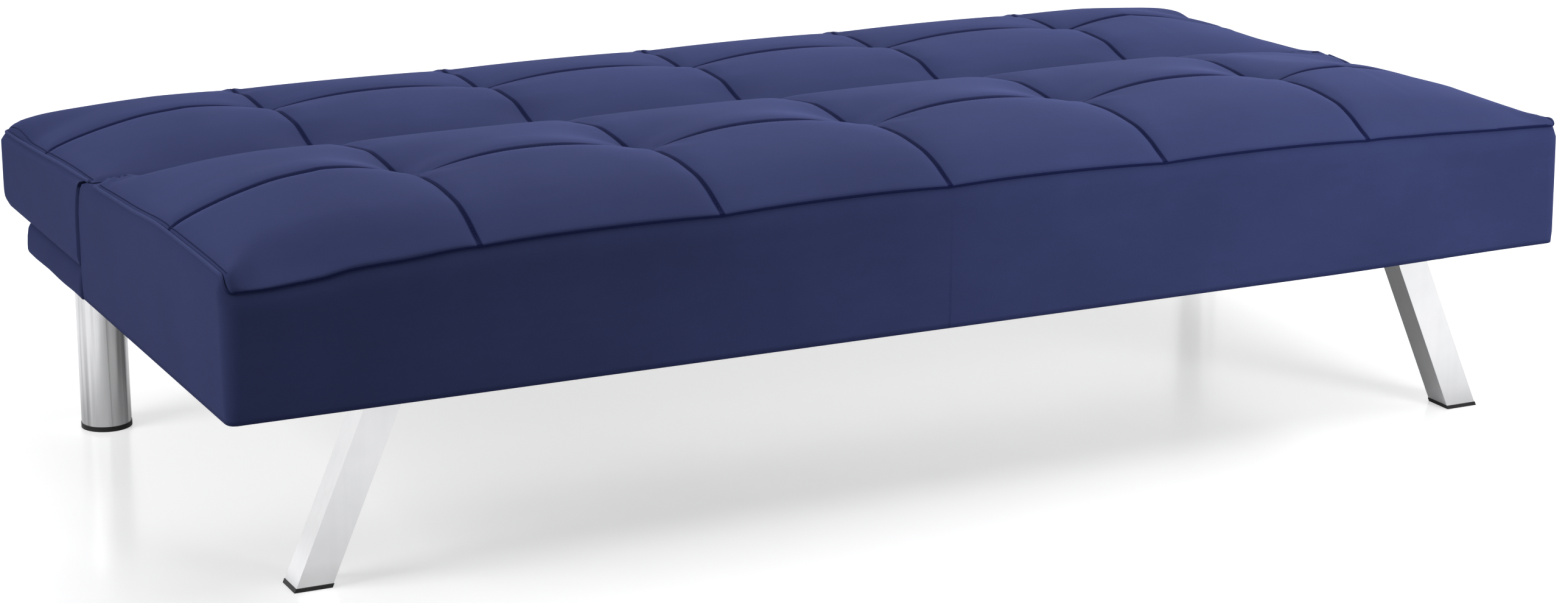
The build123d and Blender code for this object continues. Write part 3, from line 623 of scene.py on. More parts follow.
# %% [markdown]
# Real padding pushes its cover out until the cloth is taut, so the panels are
# settled by a short cloth simulation: a coarser copy of the top is pinned along
# its seams and edges and blown up from below. Its movement, kept to a few
# millimetres, is then added to the fine grid, whose seams stay crisp.

# %% Blow the panels up as cloth
cloth_step, cloth_frames = 0.0095, 20


def settle(name, cushion, most):
    """How far the cloth moved, on the cushion's fine grid."""
    even = lambda a, b: np.linspace(a, b, int(round((b - a) / cloth_step)) + 1)
    xs = through([-half_length, *seam_x, half_length], even)
    ys = through([cushion.start, cushion.row, cushion.end], even)
    x, y = np.meshgrid(xs, ys, indexing="ij")
    held = np.zeros(x.shape, bool)
    held[[0, -1], :] = held[:, [0, -1]] = True
    held |= np.min([np.abs(x - line) for line in seam_x], axis=0) < 1e-6
    held |= np.abs(y - cushion.row) < 1e-6
    z = cushion.height(x, y) + np.where(held, 0, groove)
    points = np.stack([x, y, z], axis=-1).reshape(-1, 3)
    index = numbered(x.shape)
    sheet = new_piece(name, points, quads(index).tolist(), smooth=False)
    sheet.vertex_groups.new(name="sewn").add(index[held].tolist(), 1.0, "REPLACE")
    cloth = sheet.modifiers.new("cloth", "CLOTH")
    cloth.settings.vertex_group_mass = "sewn"
    cloth.settings.use_pressure = True
    cloth.settings.uniform_pressure_force = 4.0
    cloth.settings.tension_stiffness = cloth.settings.compression_stiffness = 12.0
    cloth.settings.bending_stiffness = 2.0
    cloth.settings.air_damping = 4.0
    cloth.settings.effector_weights.gravity = 0.0
    cloth.point_cache.frame_start, cloth.point_cache.frame_end = 1, cloth_frames
    for frame_number in range(1, cloth_frames + 1):
        scene.frame_set(frame_number)
    blown = sheet.evaluated_get(bpy.context.evaluated_depsgraph_get())
    moved = np.empty(len(points) * 3)
    blown.data.vertices.foreach_get("co", moved)
    moved = moved.reshape(-1, 3) - points
    size = np.linalg.norm(moved, axis=1)
    moved *= (most * np.tanh(size / most) / np.maximum(size, 1e-9))[:, None]
    bpy.data.objects.remove(sheet)
    scene.frame_set(1)
    print(name, "cloth points", len(points), "moved at most", round(size.max() * 1000, 2), "mm")
    moved = moved.reshape(*x.shape, 3)
    for coarse, fine in ((xs, cushion.x), (ys, cushion.y)):
        moved = np.stack([[np.interp(fine, coarse, row) for row in moved[..., k].T]
                          for k in range(3)], axis=-1)
    return moved


print("cloth settling ready")

# %% [markdown]
# A wall is made of rings. Each says how far its points stand out and how high
# they are: on the plain walls, and on the one side that rolls under towards the
# crease between seat and back. Joined below the top, and closed by one face
# inside, they make a watertight skin without any sculpting.

# %% Wall rings
# Painted shade on the hem, as a share of the seam colour, and the height where
# seat and back meet.
hem_painted_shade, meeting_z = 0.5, 0.288


def ring(edge, outward, reach, out, z, roll_y, roll_z, blend):
    """One ring of a wall. blend says how soon the rolled side's height takes over."""
    points = edge.copy()
    points[:, :2] += outward * np.reshape(out, (-1, 1))
    points[:, 1] += np.where(reach >= 1, 1, reach ** turn_in) * roll_y
    share = np.where(reach >= 1, 1, reach ** 3 * blend)
    points[:, 2] = z * (1 - share) + roll_z * share
    return points


def rolled_side(f, edge, roll_ends, shares, heights, depth):
    """Way in and height of the side that rolls under: a quarter round, then straight lines."""
    angle = min(f / roll_ends, 1) * math.pi / 2
    z = edge[:, 2] - (edge[:, 2] - meeting_z) * (1 - math.cos(angle))
    if f > roll_ends:
        z = np.interp(f, shares, heights) + 0 * z
    return depth * math.sin(angle) ** 0.6, z


def stands_out(f, at_edge, belly, hem):
    """How far a plain wall stands out, a share f of the way down."""
    full_by, hem_from, hem_run = 0.12, 0.9, 0.1
    return at_edge + belly * ease(f / full_by) - hem * ease((f - hem_from) / hem_run)


def close_skin(name, top, rings, mark, painted_shade_rings):
    """One closed mesh from the top grid and the rings below it."""
    index = numbered(top.shape[:2])
    above = border(index)
    around = len(above)
    faces = quads(index).tolist()
    for k in range(len(rings)):
        below = index.size + k * around + np.arange(around)
        faces += wall(above, below)
        above = below
    faces.append(above[::-1].tolist())
    # The listed rings get painted shade, a share of the seam colour.
    painted_shades = [hem_painted_shade if k in painted_shade_rings else 0.0 for k in range(len(rings))]
    seam = np.concatenate([mark.reshape(-1), np.repeat(painted_shades, around)])
    return new_piece(name, np.concatenate([top.reshape(-1, 3), *rings]), faces, navy, seam)


print("rings ready")

# %% [markdown]
# The seat. Its front edge droops a little near the two front corners, where
# the cover is sewn round. Each line gives heights in millimetres over the way
# back from the front, or along the front edge from the middle of the bed.

# %% Seat cushion shape
seat_start, crease = seat_low[1], front + 0.492
front_height = 0.363
left_line = smooth_line([(0, 363), (30, 363), (284, 361), (560, 359), (648, 351), (698, 349),
                         (738, 344), (787, 343), (840, 347)])
right_line = smooth_line([(0, 363), (30, 363), (284, 361), (560, 359), (640, 355.5),
                          (720, 354.5), (800, 356), (840, 357)])


def seat_front_drop(x, y):
    """The front edge dips towards the corners; the cover rises where it hides the hinges."""
    from_middle = np.abs(x)
    line = np.where(x < 0, left_line(from_middle), right_line(from_middle))
    fade = 0.065 - 0.054 * ease((from_middle - 0.785) / 0.045)
    lift, hinge_from, hinge_to = 0.0045, 0.783, 0.815
    over_hinge = (lift * ease((from_middle - hinge_from) / 0.016)
                  * ease((y - crease + 0.030) / 0.020)
                  * (1 - 0.8 * ease((from_middle - hinge_to) / 0.012)))
    return (line - front_height) * (1 - ease((y - seat_start) / fade)) + over_hinge


seat = Cushion(
    start=seat_start, end=crease, row=front + 0.205, sewn_front=True, full_from=9.0,
    seam=smooth_line([(0, 363.5), (36, 384), (75, 395), (134, 400.5), (165, 399.5), (190, 394.5),
                      (205, 389), (225, 384.5), (250, 383.5), (272, 387), (302, 391), (335, 393),
                      (374, 389), (444, 377), (475, 362), (492, 353)]),
    middle=smooth_line([(0, 363), (10, 374), (36, 388), (75, 399), (134, 407), (180, 411),
                        (205, 412), (240, 409.5), (270, 405), (335, 397), (390, 389), (444, 377),
                        (475, 362), (492, 353)]),
    side=smooth_line([(0, 361), (72, 363), (221, 364), (340, 357), (410, 354), (492, 350)]),
    end_drop=smooth_line([(0, 0), (50, 7), (205, 9.5), (300, 15), (400, 12), (450, 3), (492, 0)]),
    edge_drop=seat_front_drop)
seat_top = seat.lay_out()
seat_top += settle("seat_cloth", seat, 0.004)
print("seat top grid", seat.count, "highest", round(seat_top[..., 2].max(), 4))

# %% [markdown]
# The seat's walls. The skirt hangs in slow waves down over the rails, turns in
# at the hem and goes up inside; at the crease the foam rolls over to meet the
# back. Fifteen rings, closer together near the piping and the hem, are enough
# for such soft shapes.

# %% Seat cushion walls
seat_edge, seat_out, seat_reach = seat.wall_lines()
roll = seat_high[1] - crease
sole = rail_top + 0.0003
ceiling = corners("seat_foam")[0][2]
inside = -0.0029
along_x = seat_edge[:, 0]
wave = 0.0012 * np.sin(along_x * 9.0 + 0.7) + 0.0009 * np.sin(along_x * 23.0)
# The hem rises a little towards the right end, and hangs further in on the left half.
skirt = skirt_z + 0.003 * ease((along_x - 0.5) / 0.3)
slack = 0.0011 * (along_x < 0)
seat_levels = (0.012, 0.03, 0.06, 0.11, 0.18, 0.27, 0.37, 0.47, 0.57, 0.67, 0.76, 0.84, 0.91,
               0.96, 1.0)
seat_rings = []
for f in seat_levels:
    middle_swell = math.sin(math.pi * f)
    out = stands_out(f, at_edge=0.0025, belly=0.0051, hem=0.0010)
    out += wave * middle_swell - slack * f
    line = seat.rounded(seat_edge, 0.010 + 0.003 * middle_swell - 0.005 * f)
    rolled = rolled_side(f, seat_edge, roll_ends=0.47, shares=(0.47, 0.76, 1.0),
                         heights=(meeting_z, 0.2425, sole), depth=roll)
    seat_rings.append(ring(line, seat_out, seat_reach, out,
                           seat_edge[:, 2] * (1 - f) + skirt * f, *rolled,
                           1 - ease((f - 0.55) / 0.15)))
hem_line = seat.rounded(seat_edge, 0.005)
# Round the hem and up inside: how far out, the height, and the height at the crease.
for out, z, sole_z in ((0.0038, skirt - 0.0009, sole), (-0.0012, skirt - 0.0006, sole + 0.0002),
                       (inside, skirt + 0.001, sole + 0.0005), (inside, 0.260, 0.262),
                       (inside, ceiling, ceiling)):
    seat_rings.append(ring(hem_line, seat_out, seat_reach, out, z, roll + out, sole_z, 0))
# Rings 14 to 16, the skirt's foot and the turn of the hem, get painted shade.
seat_piece = close_skin("seat_cushion", seat_top, seat_rings, seat.mark, (14, 15, 16))
print("seat cushion faces:", len(seat_piece.data.polygons))

# %% [markdown]
# The back, laid flat behind the seat. Its tops lean down towards the far edge,
# where the cover puckers at each seam.

# %% Back cushion shape
back_start, back_end = back_low[1], back_high[1]
far_seams = front + 0.853


def gathers(x, y):
    """Puckers where the seams meet the far edge's piping, and that edge's slight sag."""
    beside = np.min([np.abs(x - line) for line in seam_x], axis=0)
    lift, half_width, half_depth, edge_sag = 0.0065, 0.010, 0.016, 0.0022
    pucker = lift * np.exp(-(beside / half_width) ** 2 - ((y - far_seams) / half_depth) ** 2)
    return pucker - edge_sag * ease((x + 0.75) / 0.4) * ease((y - front - 0.74) / 0.06)


back = Cushion(
    start=back_start, end=back_end, row=high[1] - 0.187, sewn_front=False,
    full_from=front + 0.775,
    seam=smooth_line([(500, 350), (535, 353.5), (556, 358.5), (605, 372.5), (655, 375),
                      (690, 368.5), (712, 362), (745, 366), (791, 370), (820, 366), (853, 360.5),
                      (880, 347), (892, 334)]),
    middle=smooth_line([(500, 350), (520, 355), (556, 367), (605, 376.5), (670, 380), (710, 379),
                        (760, 376), (800, 371), (853, 361), (880, 347), (892, 334)]),
    side=smooth_line([(500, 352), (615, 347), (720, 340), (804, 335.5), (892, 332)]),
    end_drop=smooth_line([(500, 1), (560, 5.5), (640, 4), (740, -1.5), (820, 0), (860, 2),
                          (892, 2.5)]),
    edge_drop=gathers)
back_top = back.lay_out()
back_top += settle("back_cloth", back, 0.004)
print("back top grid", back.count, "highest", round(back_top[..., 2].max(), 4))

# %% [markdown]
# The back's walls. Its front wall curls over the seat's roll and its lower far
# edge is rounded under, because that edge becomes the top when the back is up.

# %% Back cushion walls
back_edge, back_out, back_reach = back.wall_lines()
back_sole = back_low[2]
curl = corners("back_lower_board")[0][1] - 0.0033 - back_start
under = 0.022
back_ceiling = corners("back_foam")[0][2]
to_tip = np.clip(1 - (back_end - back_edge[:, 1]) / turn_run, 0, 1) ** turn_in


def back_ring(out, z, curl_y, curl_z, radius, bottom, corner):
    """A ring of the back; radius and bottom say how the far wall curls in under it."""
    points = ring(back.rounded(back_edge, corner), back_out, back_reach, out, z, curl_y, curl_z, 1)
    depth = np.clip(bottom + radius - points[:, 2], 0, radius)
    tuck = radius - np.sqrt(np.maximum(radius ** 2 - depth ** 2, 0))
    points[:, 1] -= to_tip * tuck * (back_reach == 0)
    return points


back_levels = (*seat_levels[:10], 0.75, 0.81, 0.86, 0.90, 0.94, 0.97, 0.99, 1.0)
back_rings = []
for f in back_levels:
    curled = rolled_side(f, back_edge, roll_ends=0.6, shares=(0.6, 1.0),
                         heights=(meeting_z, back_sole), depth=curl)
    back_rings.append(back_ring(stands_out(f, at_edge=0.0030, belly=0.0060, hem=0.0024),
                                back_edge[:, 2] * (1 - f) + back_sole * f, *curled,
                                under, back_sole, 0.006))
# Round the hem and up inside.
for z in (back_sole + 0.001, 0.250, 0.255, 0.265, back_ceiling):
    back_rings.append(back_ring(inside, z, curl - inside, z, under - 0.003, back_sole + 0.003,
                                0.007))
# Rings 17 and 18, the wall's foot and the turn of the hem, get painted shade.
back_piece = close_skin("back_cushion", back_top, back_rings, back.mark, (17, 18))
print("back cushion faces:", len(back_piece.data.polygons))

# %% [markdown]
# The hinge arms pass through narrow slots in both cushions, hidden down in the
# crease. They could be left as open gaps in the grid, but boxes a little wider
# than the plates, cut away on both sides of the bed, keep the skins closed.

# %% Hinge slots
box_faces = ((0, 2, 3, 1), (4, 5, 7, 6), (0, 1, 5, 4), (2, 6, 7, 3), (0, 4, 6, 2), (1, 3, 7, 5))


def cut_slots(piece, boxes):
    """Cut boxes, given as ranges of x, y and z, on both sides of the bed."""
    points, faces = [], []
    for xs, ys, zs in boxes:
        for side in (-1, 1):
            faces += [[len(points) + i for i in face] for face in box_faces]
            points += [(x, y, z) for z in zs for y in ys for x in sorted(side * x for x in xs)]
    cutter = new_piece("slot_cutter", points, faces, smooth=False)
    cut = piece.modifiers.new("slots", "BOOLEAN")
    cut.operation, cut.solver, cut.object = "DIFFERENCE", "MANIFOLD", cutter
    done = settled_mesh(piece)
    piece.modifiers.clear()
    before = len(piece.data.vertices)
    piece.data = done
    bpy.data.objects.remove(cutter)
    print(piece.name, "points before and after the slots:", before, len(done.vertices))


cheek_in = corners("hinge_inner_cheek_right")[0][0]
cheek_out = corners("hinge_outer_cheek_right")[1][0]
arm_low, arm_high = corners("hinge_arm_right")
plates = (cheek_in - 0.004, cheek_out + 0.0008)
hub = (cheek_in - 0.0005, cheek_out + 0.0005)
arm = (arm_low[0] - 0.0006, arm_high[0] + 0.0006)
# In the seat: ahead of the pivot, behind it, and over the arm's hub.
cut_slots(seat_piece, [(plates, (-0.120, 0.040), (0.300, 0.3540)),
                       (plates, (0.0399, 0.130), (0.3145, 0.3540)),
                       (hub, (0.0250, 0.060), (0.3500, 0.3660))])
cut_slots(back_piece, [(arm, (0.030, 0.200), (0.262, 0.3500))])

# %% [markdown]
# Piping is a cord in a sleeve of the same cloth, sewn into the seam between
# the top panels and the walls. A curve with a round bevel would make it too; a
# tube swept along the cushion's own border points is sure to touch the cover
# everywhere. Its cloth is painted a little lighter than the cushions', a
# painted highlight. Along the front and rear its colour is painted darker:
# painted shade, where it lies under the top panel's overhang.

# %% Piping
crease_gap = 0.008
cord_out, cord_up, cord_radius, cord_sides = 0.0022, 0.0002, 0.0021, 10
# Painted shade on the piping's front and rear runs, as a share of the seam colour.
cord_painted_shade = 0.88


def edge_piping(name, cushion, edge, outward):
    """Piping round three sides of a cushion, stopping short of the crease."""
    beyond = (cushion.end - edge[:, 1]) if cushion.sewn_front else (edge[:, 1] - cushion.start)
    keep = beyond - crease_gap > 0
    order = np.arange(len(edge))
    first = order[keep & ~np.roll(keep, 1)][0]
    order = np.roll(order, -first)[:keep.sum()]
    outward = outward[order]
    line = edge[order] + np.column_stack([outward * cord_out, np.full(len(order), cord_up)])
    tangent = np.gradient(line, axis=0)
    tangent /= np.linalg.norm(tangent, axis=1)[:, None]
    side = np.cross(tangent, (0, 0, 1.0))
    side /= np.linalg.norm(side, axis=1)[:, None]
    lift = np.cross(side, tangent)
    angles = np.arange(cord_sides)[None, :, None] / cord_sides * 2 * math.pi
    points = line[:, None] + cord_radius * (np.cos(angles) * side[:, None]
                                            + np.sin(angles) * lift[:, None])
    index = numbered(points.shape[:2])
    ahead = np.roll(index, -1, axis=1)
    faces = np.stack([index[:-1], ahead[:-1], ahead[1:], index[1:]], axis=-1).reshape(-1, 4)
    faces = faces.tolist() + [index[0, ::-1].tolist(), index[-1].tolist()]
    return new_piece(name, points, faces, piping_painted_highlight,
                     np.repeat(cord_painted_shade * np.abs(outward[:, 1]), cord_sides))


seat_piping = edge_piping("seat_edge_piping", seat, seat_edge, seat_out)
back_piping = edge_piping("back_edge_piping", back, back_edge, back_out)
print("piping faces:", len(seat_piping.data.polygons), len(back_piping.data.polygons))

# %% [markdown]
# Behind the seat the timber base is wrapped in the same cloth: over the rail,
# down its side and under. One cross-section is carried round three sides, with
# the corners turned, so that the wrap is a single rounded strip. Three bent
# panels would need their corners matched by hand.

# %% Base wrap
wrap_low, wrap_high = corners("base_wrap_left")
# The whole wrap gets a share of the seam colour: painted shade.
wrap_painted_shade, wrap_corner, least_radius = 0.16, 0.004, 0.0004
ripple_height, ripple_turn = 0.0005, 0.55
# Millimetres out from the wrap's side, and millimetres above the floor.
section = [(-80, 241.0), (-40, 241.3), (-14, 241.3), (-6, 241.2), (-0.2, 240.2), (3.4, 237.8),
           (5.6, 233.0), (7.0, 224.0), (7.6, 214.0), (7.6, 207.2), (6.4, 203.8), (-1.6, 203.6),
           (-3.0, 208.0), (-3.0, 224.0), (-3.2, 238.4), (-40, 238.4), (-80, 238.4)]
wrap_points = []
for out, z in section:
    out, z = out / 1000, z / 1000
    radius = max(wrap_corner + out, least_radius)
    side_x, rear_y = out - wrap_low[0], wrap_high[1] + out
    left = [(-side_x, y) for y in np.linspace(wrap_low[1], rear_y - radius, 24)]
    left += [(-side_x + radius * (1 - math.cos(a)), rear_y - radius * (1 - math.sin(a)))
             for a in np.linspace(0, math.pi / 2, 9)[1:]]
    rear = [(x, rear_y) for x in np.linspace(-side_x + radius, side_x - radius, 90)[1:-1]]
    path = left + rear + [(-x, y) for x, y in left[::-1]]
    ripple = ripple_height * np.sin(np.arange(len(path)) * ripple_turn) * (out > 0)
    wrap_points.append([(x, y, z + r) for (x, y), r in zip(path, ripple)])
index = numbered(np.shape(wrap_points)[:2])
ahead = np.roll(index, -1, axis=0)
wrap_faces = np.stack([index[:, :-1], index[:, 1:], ahead[:, 1:], ahead[:, :-1]], axis=-1)
wrap_faces = wrap_faces.reshape(-1, 4).tolist() + [index[:, 0].tolist(), index[::-1, -1].tolist()]
base_wrap = new_piece("base_wrap", wrap_points, wrap_faces, navy, np.full(index.size, wrap_painted_shade))
print("base wrap faces:", len(base_wrap.data.polygons))

# %% [markdown]
# Under the base a thin black dust cover is stapled to the rails. It is one
# stretched sheet that sags a few millimetres in each bay between the rails. A
# cloth simulation would find the same shallow bellies as these sine waves do.

# %% Dust cover
def thin_sheet(name, lowest, highest, counts, top, thickness, material):
    """A closed sheet: a grid of top points and the same grid just below it."""
    lines = [np.linspace(lowest[i], highest[i], counts[i]) for i in (0, 1)]
    x, y = np.meshgrid(*lines, indexing="ij")
    upper = np.stack([x, y, top(x, y)], axis=-1).reshape(-1, 3)
    index = numbered(x.shape)
    above, rim = quads(index), border(index)
    faces = above.tolist() + (above[:, ::-1] + index.size).tolist() + wall(rim, rim + index.size)
    return new_piece(name, np.concatenate([upper, upper - (0, 0, thickness)]), faces, material)


dust_low, dust_high = corners("dust_cover")
rails = [corners("base_" + rail) for rail in ("side_rail_left", "cross_rail_left",
                                              "cross_rail_centre", "cross_rail_right",
                                              "side_rail_right")]
bays = [(left[1][0], right[0][0]) for left, right in zip(rails, rails[1:])]
bay_start, bay_end = corners("base_front_rail")[1][1], corners("base_rear_rail")[0][1]
sag, clearance = 0.006, 0.0001


def dust_height(x, y):
    """Flat under the rails, a shallow belly in each bay."""
    belly = np.zeros_like(x)
    v = np.clip((y - bay_start) / (bay_end - bay_start), 0, 1)
    for a, b in bays:
        u = np.clip((x - a) / (b - a), 0, 1)
        belly += np.sin(math.pi * u) ** 1.2 * np.sin(math.pi * v) ** 0.8
    wrinkle = 0.0005 * np.sin(x * 61 + y * 23) * np.sin(x * 17 - y * 47)
    return dust_high[2] - clearance - belly * (sag + wrinkle * 2)


dust = thin_sheet("dust_lining", dust_low, dust_high, counts=(120, 60), top=dust_height,
                  thickness=0.0007, material=finishes["lining"])
print("dust cover faces:", len(dust.data.polygons))

# %% [markdown]
# The laid-flat back is closed underneath by a panel of the same cloth, sewn
# just inside the hem and drawn tight over the boards: the same sheet, flat.

# %% Back's underside panel
panel_low, panel_high = corners("back_panel")
hem_width = 0.0205
panel_high[1] = back_end - hem_width
panel = thin_sheet("back_underside", panel_low, panel_high, counts=(160, 40),
                   top=lambda x, y: panel_high[2] - 0.0004 + 0 * x, thickness=0.0022,
                   material=navy)
print("underside panel faces:", len(panel.data.polygons))

# %% [markdown]
# Stitches and staples are one shape repeated along a path, which is what
# Geometry Nodes are for. The recipe turns a path of edges into a curve, puts
# points on it at an even pitch, and sets a short arched thread on each, turned
# along the path and upright. Small arch and fat wire make it a staple.

# %% Recipe for stitches and staples
class Recipe(Wiring):
    """A Geometry Nodes tree with named sizes."""

    def __init__(self, name, sizes):
        super().__init__(bpy.data.node_groups.new(name, "GeometryNodeTree"))
        sockets = self.tree.interface
        sockets.new_socket("Path", in_out="INPUT", socket_type="NodeSocketGeometry")
        for label, value in sizes.items():
            kind = "NodeSocketInt" if isinstance(value, int) else "NodeSocketFloat"
            sockets.new_socket(label, in_out="INPUT", socket_type=kind).default_value = value
        sockets.new_socket("Thread", in_out="INPUT", socket_type="NodeSocketMaterial")
        sockets.new_socket("Row", in_out="OUTPUT", socket_type="NodeSocketGeometry")
        given = self.tree.nodes.new("NodeGroupInput").outputs
        self.given = {socket.name: Wire(self, socket) for socket in given}
        self.result = self.tree.nodes.new("NodeGroupOutput").inputs[0]


def thread_row():
    """Short arched threads set along a path."""
    row = Recipe("thread_row", {"Pitch": 0.005, "Length": 0.0036, "Arch": 0.0008,
                                "Radius": 0.0004, "Wander": 0.06, "Seed": 7})
    given = row.given
    point = lambda **place: row.node("ShaderNodeCombineXYZ", **place)
    thread = row.node("GeometryNodeCurveQuadraticBezier", Resolution=3,
                      Start=point(X=given["Length"] * -0.5), Middle=point(Z=given["Arch"] * 2.0),
                      End=point(X=given["Length"] * 0.5))
    wire = row.node("GeometryNodeCurvePrimitiveCircle", {"mode": "RADIUS"}, Resolution=5,
                    Radius=given["Radius"])
    stitch = row.node("GeometryNodeCurveToMesh", Curve=thread, Profile_Curve=wire, Fill_Caps=True)
    line = row.node("GeometryNodeMeshToCurve", Mesh=given["Path"])
    line = row.node("GeometryNodeResampleCurve", {"mode": "LENGTH"}, Curve=line,
                    Length=given["Pitch"])
    along = row.node("FunctionNodeAlignRotationToVector", {"axis": "X"},
                     Vector=row.node("GeometryNodeInputTangent"))
    upright = row.node("FunctionNodeAlignRotationToVector", {"axis": "Z", "pivot_axis": "X"},
                       Rotation=along, Vector=(0, 0, 1))
    chance = row.node("FunctionNodeRandomValue", {"data_type": "FLOAT"}, None, None,
                      given["Wander"] * -1.0, given["Wander"], Seed=given["Seed"], output=1)
    turned = row.node("FunctionNodeRotateRotation", {"rotation_space": "LOCAL"}, upright,
                      row.node("FunctionNodeEulerToRotation", None, point(Z=chance)))
    threads = row.node("GeometryNodeInstanceOnPoints", Points=line, Instance=stitch,
                       Rotation=turned)
    solid = row.node("GeometryNodeRealizeInstances", None, threads)
    row.join(row.node("GeometryNodeSetMaterial", Geometry=solid, Material=given["Thread"]),
             row.result)
    return row.tree


thread_tree = thread_row()
print("recipe nodes:", len(thread_tree.nodes))

# %% [markdown]
# The stitching lies at the bottom of every channel and just inside the end
# piping, in thread a shade darker than the cloth. Each body's rows become one
# plain mesh, so that they fold with their cushion.

# %% Rows along paths
def sew(name, lines, material, **sizes):
    """One plain mesh of threads along several lines of points."""
    points, edges = [], []
    for line in lines:
        first = len(points)
        points += np.asarray(line).tolist()
        edges += [(i, i + 1) for i in range(first, len(points) - 1)]
    piece = new_piece(name, points, edges=edges)
    row = piece.modifiers.new("row", "NODES")
    row.node_group = thread_tree
    sizes["Thread"] = material
    for item in thread_tree.interface.items_tree:
        if item.in_out == "INPUT" and item.name in sizes:
            row[item.identifier] = sizes[item.name]
    done = settled_mesh(piece)
    piece.modifiers.clear()
    piece.data = done
    done.materials.clear()
    done.materials.append(material)
    done.polygons.foreach_set("material_index", np.zeros(len(done.polygons), dtype=np.int32))
    done.shade_smooth()
    print(name, "faces:", len(done.polygons), "finish:", done.materials[0].name)
    return piece


def seam_lines(cushion, top):
    """The bottoms of a cushion's channels, and lines just inside its end piping."""
    at_columns = [int(np.argmin(np.abs(cushion.x - line))) for line in seam_x]
    at_row = int(np.argmin(np.abs(cushion.y - cushion.row)))
    thread_lift, beside_piping = 0.0003, (3, -4)
    lines = [top[i, 5:-5] for i in at_columns] + [top[5:-5, at_row]]
    lines += [top[i, 6:-6] for i in beside_piping]
    return [line + (0, 0, thread_lift) for line in lines]


thread = Finish("navy_thread", Specular_IOR_Level=0.12)
twist = thread.noise(1500.0, 2.0, 0.6)
navy_thread = thread.surfaced(
    thread.blend(twist, (0.006, 0.011, 0.062), (0.012, 0.020, 0.100)),
    thread.ramp(twist, 0.2, 0.8, 0.5, 0.7))
seat_thread = sew("seat_stitching", seam_lines(seat, seat_top), navy_thread)
back_thread = sew("back_stitching", seam_lines(back, back_top), navy_thread)

# %% [markdown]
# The dust cover is held by wire staples every few centimetres, close to its
# edge, driven up into the rails from below. They are the same recipe with
# other sizes, and a little wander, as a hand-held stapler leaves them.

# %% Staples
inset = 0.010
staple_x = np.linspace(dust_low[0] + inset, dust_high[0] - inset, 60)
staple_y = np.linspace(dust_low[1] + inset, dust_high[1] - inset, 30)
staple_z = dust_low[2] - clearance
around = [[(x, y, staple_z) for x in staple_x] for y in staple_y[[0, -1]]]
around += [[(x, y, staple_z) for y in staple_y[1:-1]] for x in staple_x[[0, -1]]]
staples = sew("dust_cover_staples", around, finishes["zinc_steel"], Pitch=0.045, Length=0.010,
              Arch=-0.0005, Radius=0.00055, Wander=0.16)

# %% [markdown]
# Each soft piece rides on the body that it is fixed to, and stands in for the
# plain solids of the imported model that it dresses.

# %% Attach the soft pieces
for piece, body, slot, nodes in (
        (seat_piece, "base", "navy_fabric", ("seat_cover", "seat_foam")),
        (back_piece, "back", "navy_fabric", ("back_cover", "back_foam")),
        (seat_piping, "base", "navy_fabric", ("seat_piping",)),
        (back_piping, "back", "navy_fabric", ("back_piping",)),
        (base_wrap, "base", "navy_fabric", ("base_wrap_left", "base_wrap_right", "base_wrap_rear")),
        (dust, "base", "lining", ("dust_cover",)), (panel, "back", "navy_fabric", ("back_panel",)),
        (seat_thread, "base", "navy_fabric", ()), (back_thread, "back", "navy_fabric", ()),
        (staples, "base", "zinc_steel", ())):
    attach(piece, body)
    if nodes:
        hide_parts(*nodes)
print("soft pieces attached")

# %% [markdown]
# The floor is plain and pale. Seen directly it is lifted towards white, while
# the light that it throws back at the bed stays that of a pale floor, and the
# bed's soft shadow stays on it. Under the bed the floor, as the chrome and the
# floor mirror it, is painted darker and lifted less: a painted shadow seen only
# in reflections.

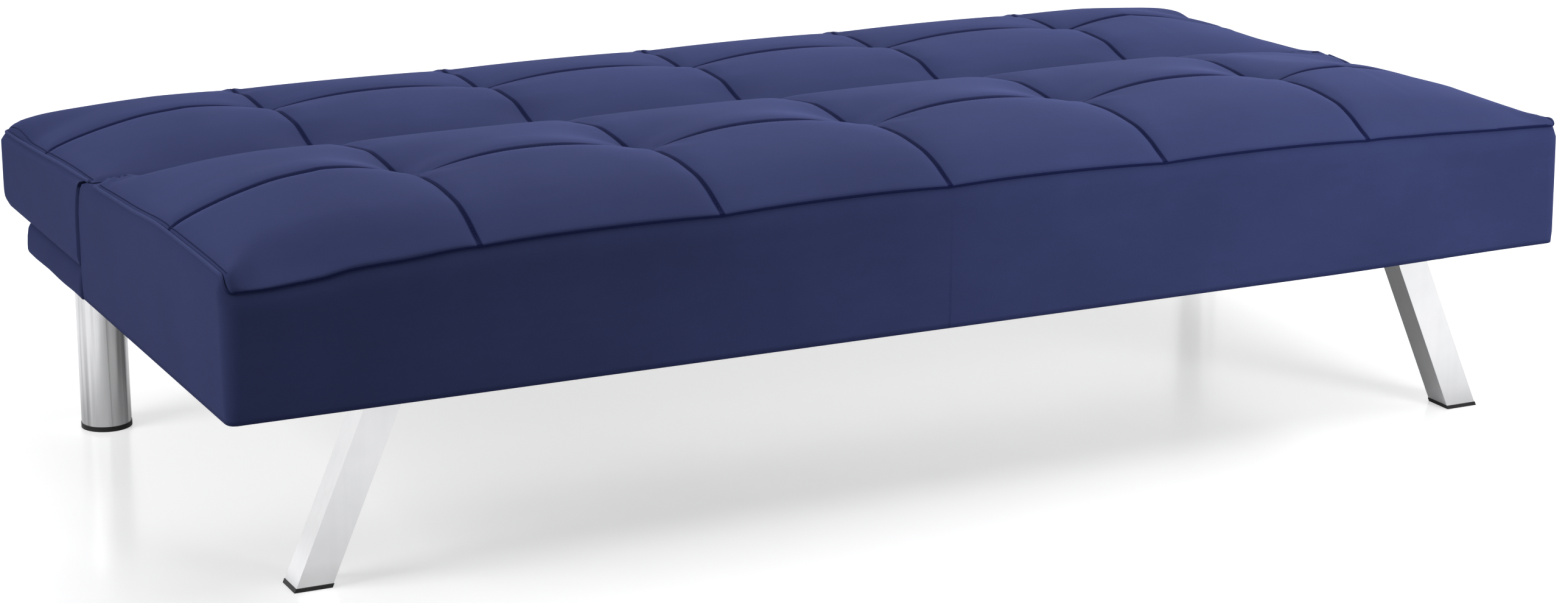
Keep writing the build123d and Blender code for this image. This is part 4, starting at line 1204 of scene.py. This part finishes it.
# %% Floor
def white_floor():
    floor = Finish("pale_floor", Specular_IOR_Level=0.20)
    mottle = floor.noise(14.0, 3.0)
    camera_ray, mirror_ray = floor.rays()
    across, along = floor.across_and_along()
    # A painted shadow under the bed, seen only in reflections.
    below = (floor.ramp(floor.maths("ABSOLUTE", across), 0.74, 1.02, 1, 0)
             * floor.ramp(floor.maths("ABSOLUTE", along + 0.05), 0.30, 0.44, 1, 0))
    plain = floor.blend(floor.ramp(mottle, 0.3, 0.7), (0.97, 0.97, 0.98), (0.98, 0.98, 0.98))
    seen = floor.blend(mirror_ray, plain, floor.blend(below, plain, (0.64, 0.64, 0.645)))
    direct = floor.maths("MAXIMUM", camera_ray, mirror_ray)
    # Reflections are lifted less under the bed, deepening the painted shadow.
    lift = camera_ray * 0.53 + mirror_ray * (1 - below * 0.55) * 0.20
    glow = floor.node("ShaderNodeEmission", None, (1, 1, 1, 1), lift)
    both = floor.node("ShaderNodeAddShader", None, Wire(floor, floor.surface.outputs[0]), glow)
    floor.join(both, floor.tree.nodes["Material Output"].inputs["Surface"])
    return floor.surfaced(floor.blend(direct, (0.42, 0.42, 0.43), seen),
                          floor.ramp(mottle, 0.2, 0.8, 0.15, 0.20))


floor_corners = [(-9, -6, 0), (9, -6, 0), (9, 12, 0), (-9, 12, 0)]
floor = new_piece("floor", floor_corners, [(0, 1, 2, 3)], white_floor(), smooth=False)
print("floor laid")

# %% [markdown]
# The world is white to the camera and in mirrors, and dim as a light. Three
# soft boxes light the bed: a broad one overhead, one at the left end and a
# small one that opens up the front wall.

# %% Background and lamps
world = bpy.data.worlds.new("studio")
world.use_nodes = True
scene.world = world
studio = Wiring(world.node_tree)
direct = studio.maths("MAXIMUM", *studio.rays())
sky = world.node_tree.nodes["Background"].inputs
studio.join(studio.node("ShaderNodeMapRange", None, direct, 0, 1, 0.10, 1.0), sky["Strength"])
sky["Color"].default_value = (1, 1, 1, 1)


def softbox(name, place, aim, size, watts, beam=180, mirrored=True):
    """A rectangular lamp aimed at a point; beam is in degrees."""
    data = bpy.data.lights.new(name, "AREA")
    data.shape, data.size, data.size_y, data.energy = "RECTANGLE", *size, watts
    data.spread = math.radians(beam)
    lamp = bpy.data.objects.new(name, data)
    lamp.location = place
    lamp.rotation_euler = (Vector(aim) - Vector(place)).to_track_quat("-Z", "Y").to_euler()
    lamp.visible_glossy = mirrored
    scene.collection.objects.link(lamp)


softbox("overhead", (1.2, 0.4, 3.3), (0.2, 0.1, 0.3), (4.6, 4.0), 102)
softbox("left", (-3.3, -0.25, 1.6), (-0.8, -0.2, 0.3), (1.6, 1.0), 35)
softbox("right_front", (1.2, -2.6, 0.8), (0.6, -0.45, 0.28), (1.0, 0.8), 4.9, 60, False)
scene.view_settings.view_transform = "Standard"
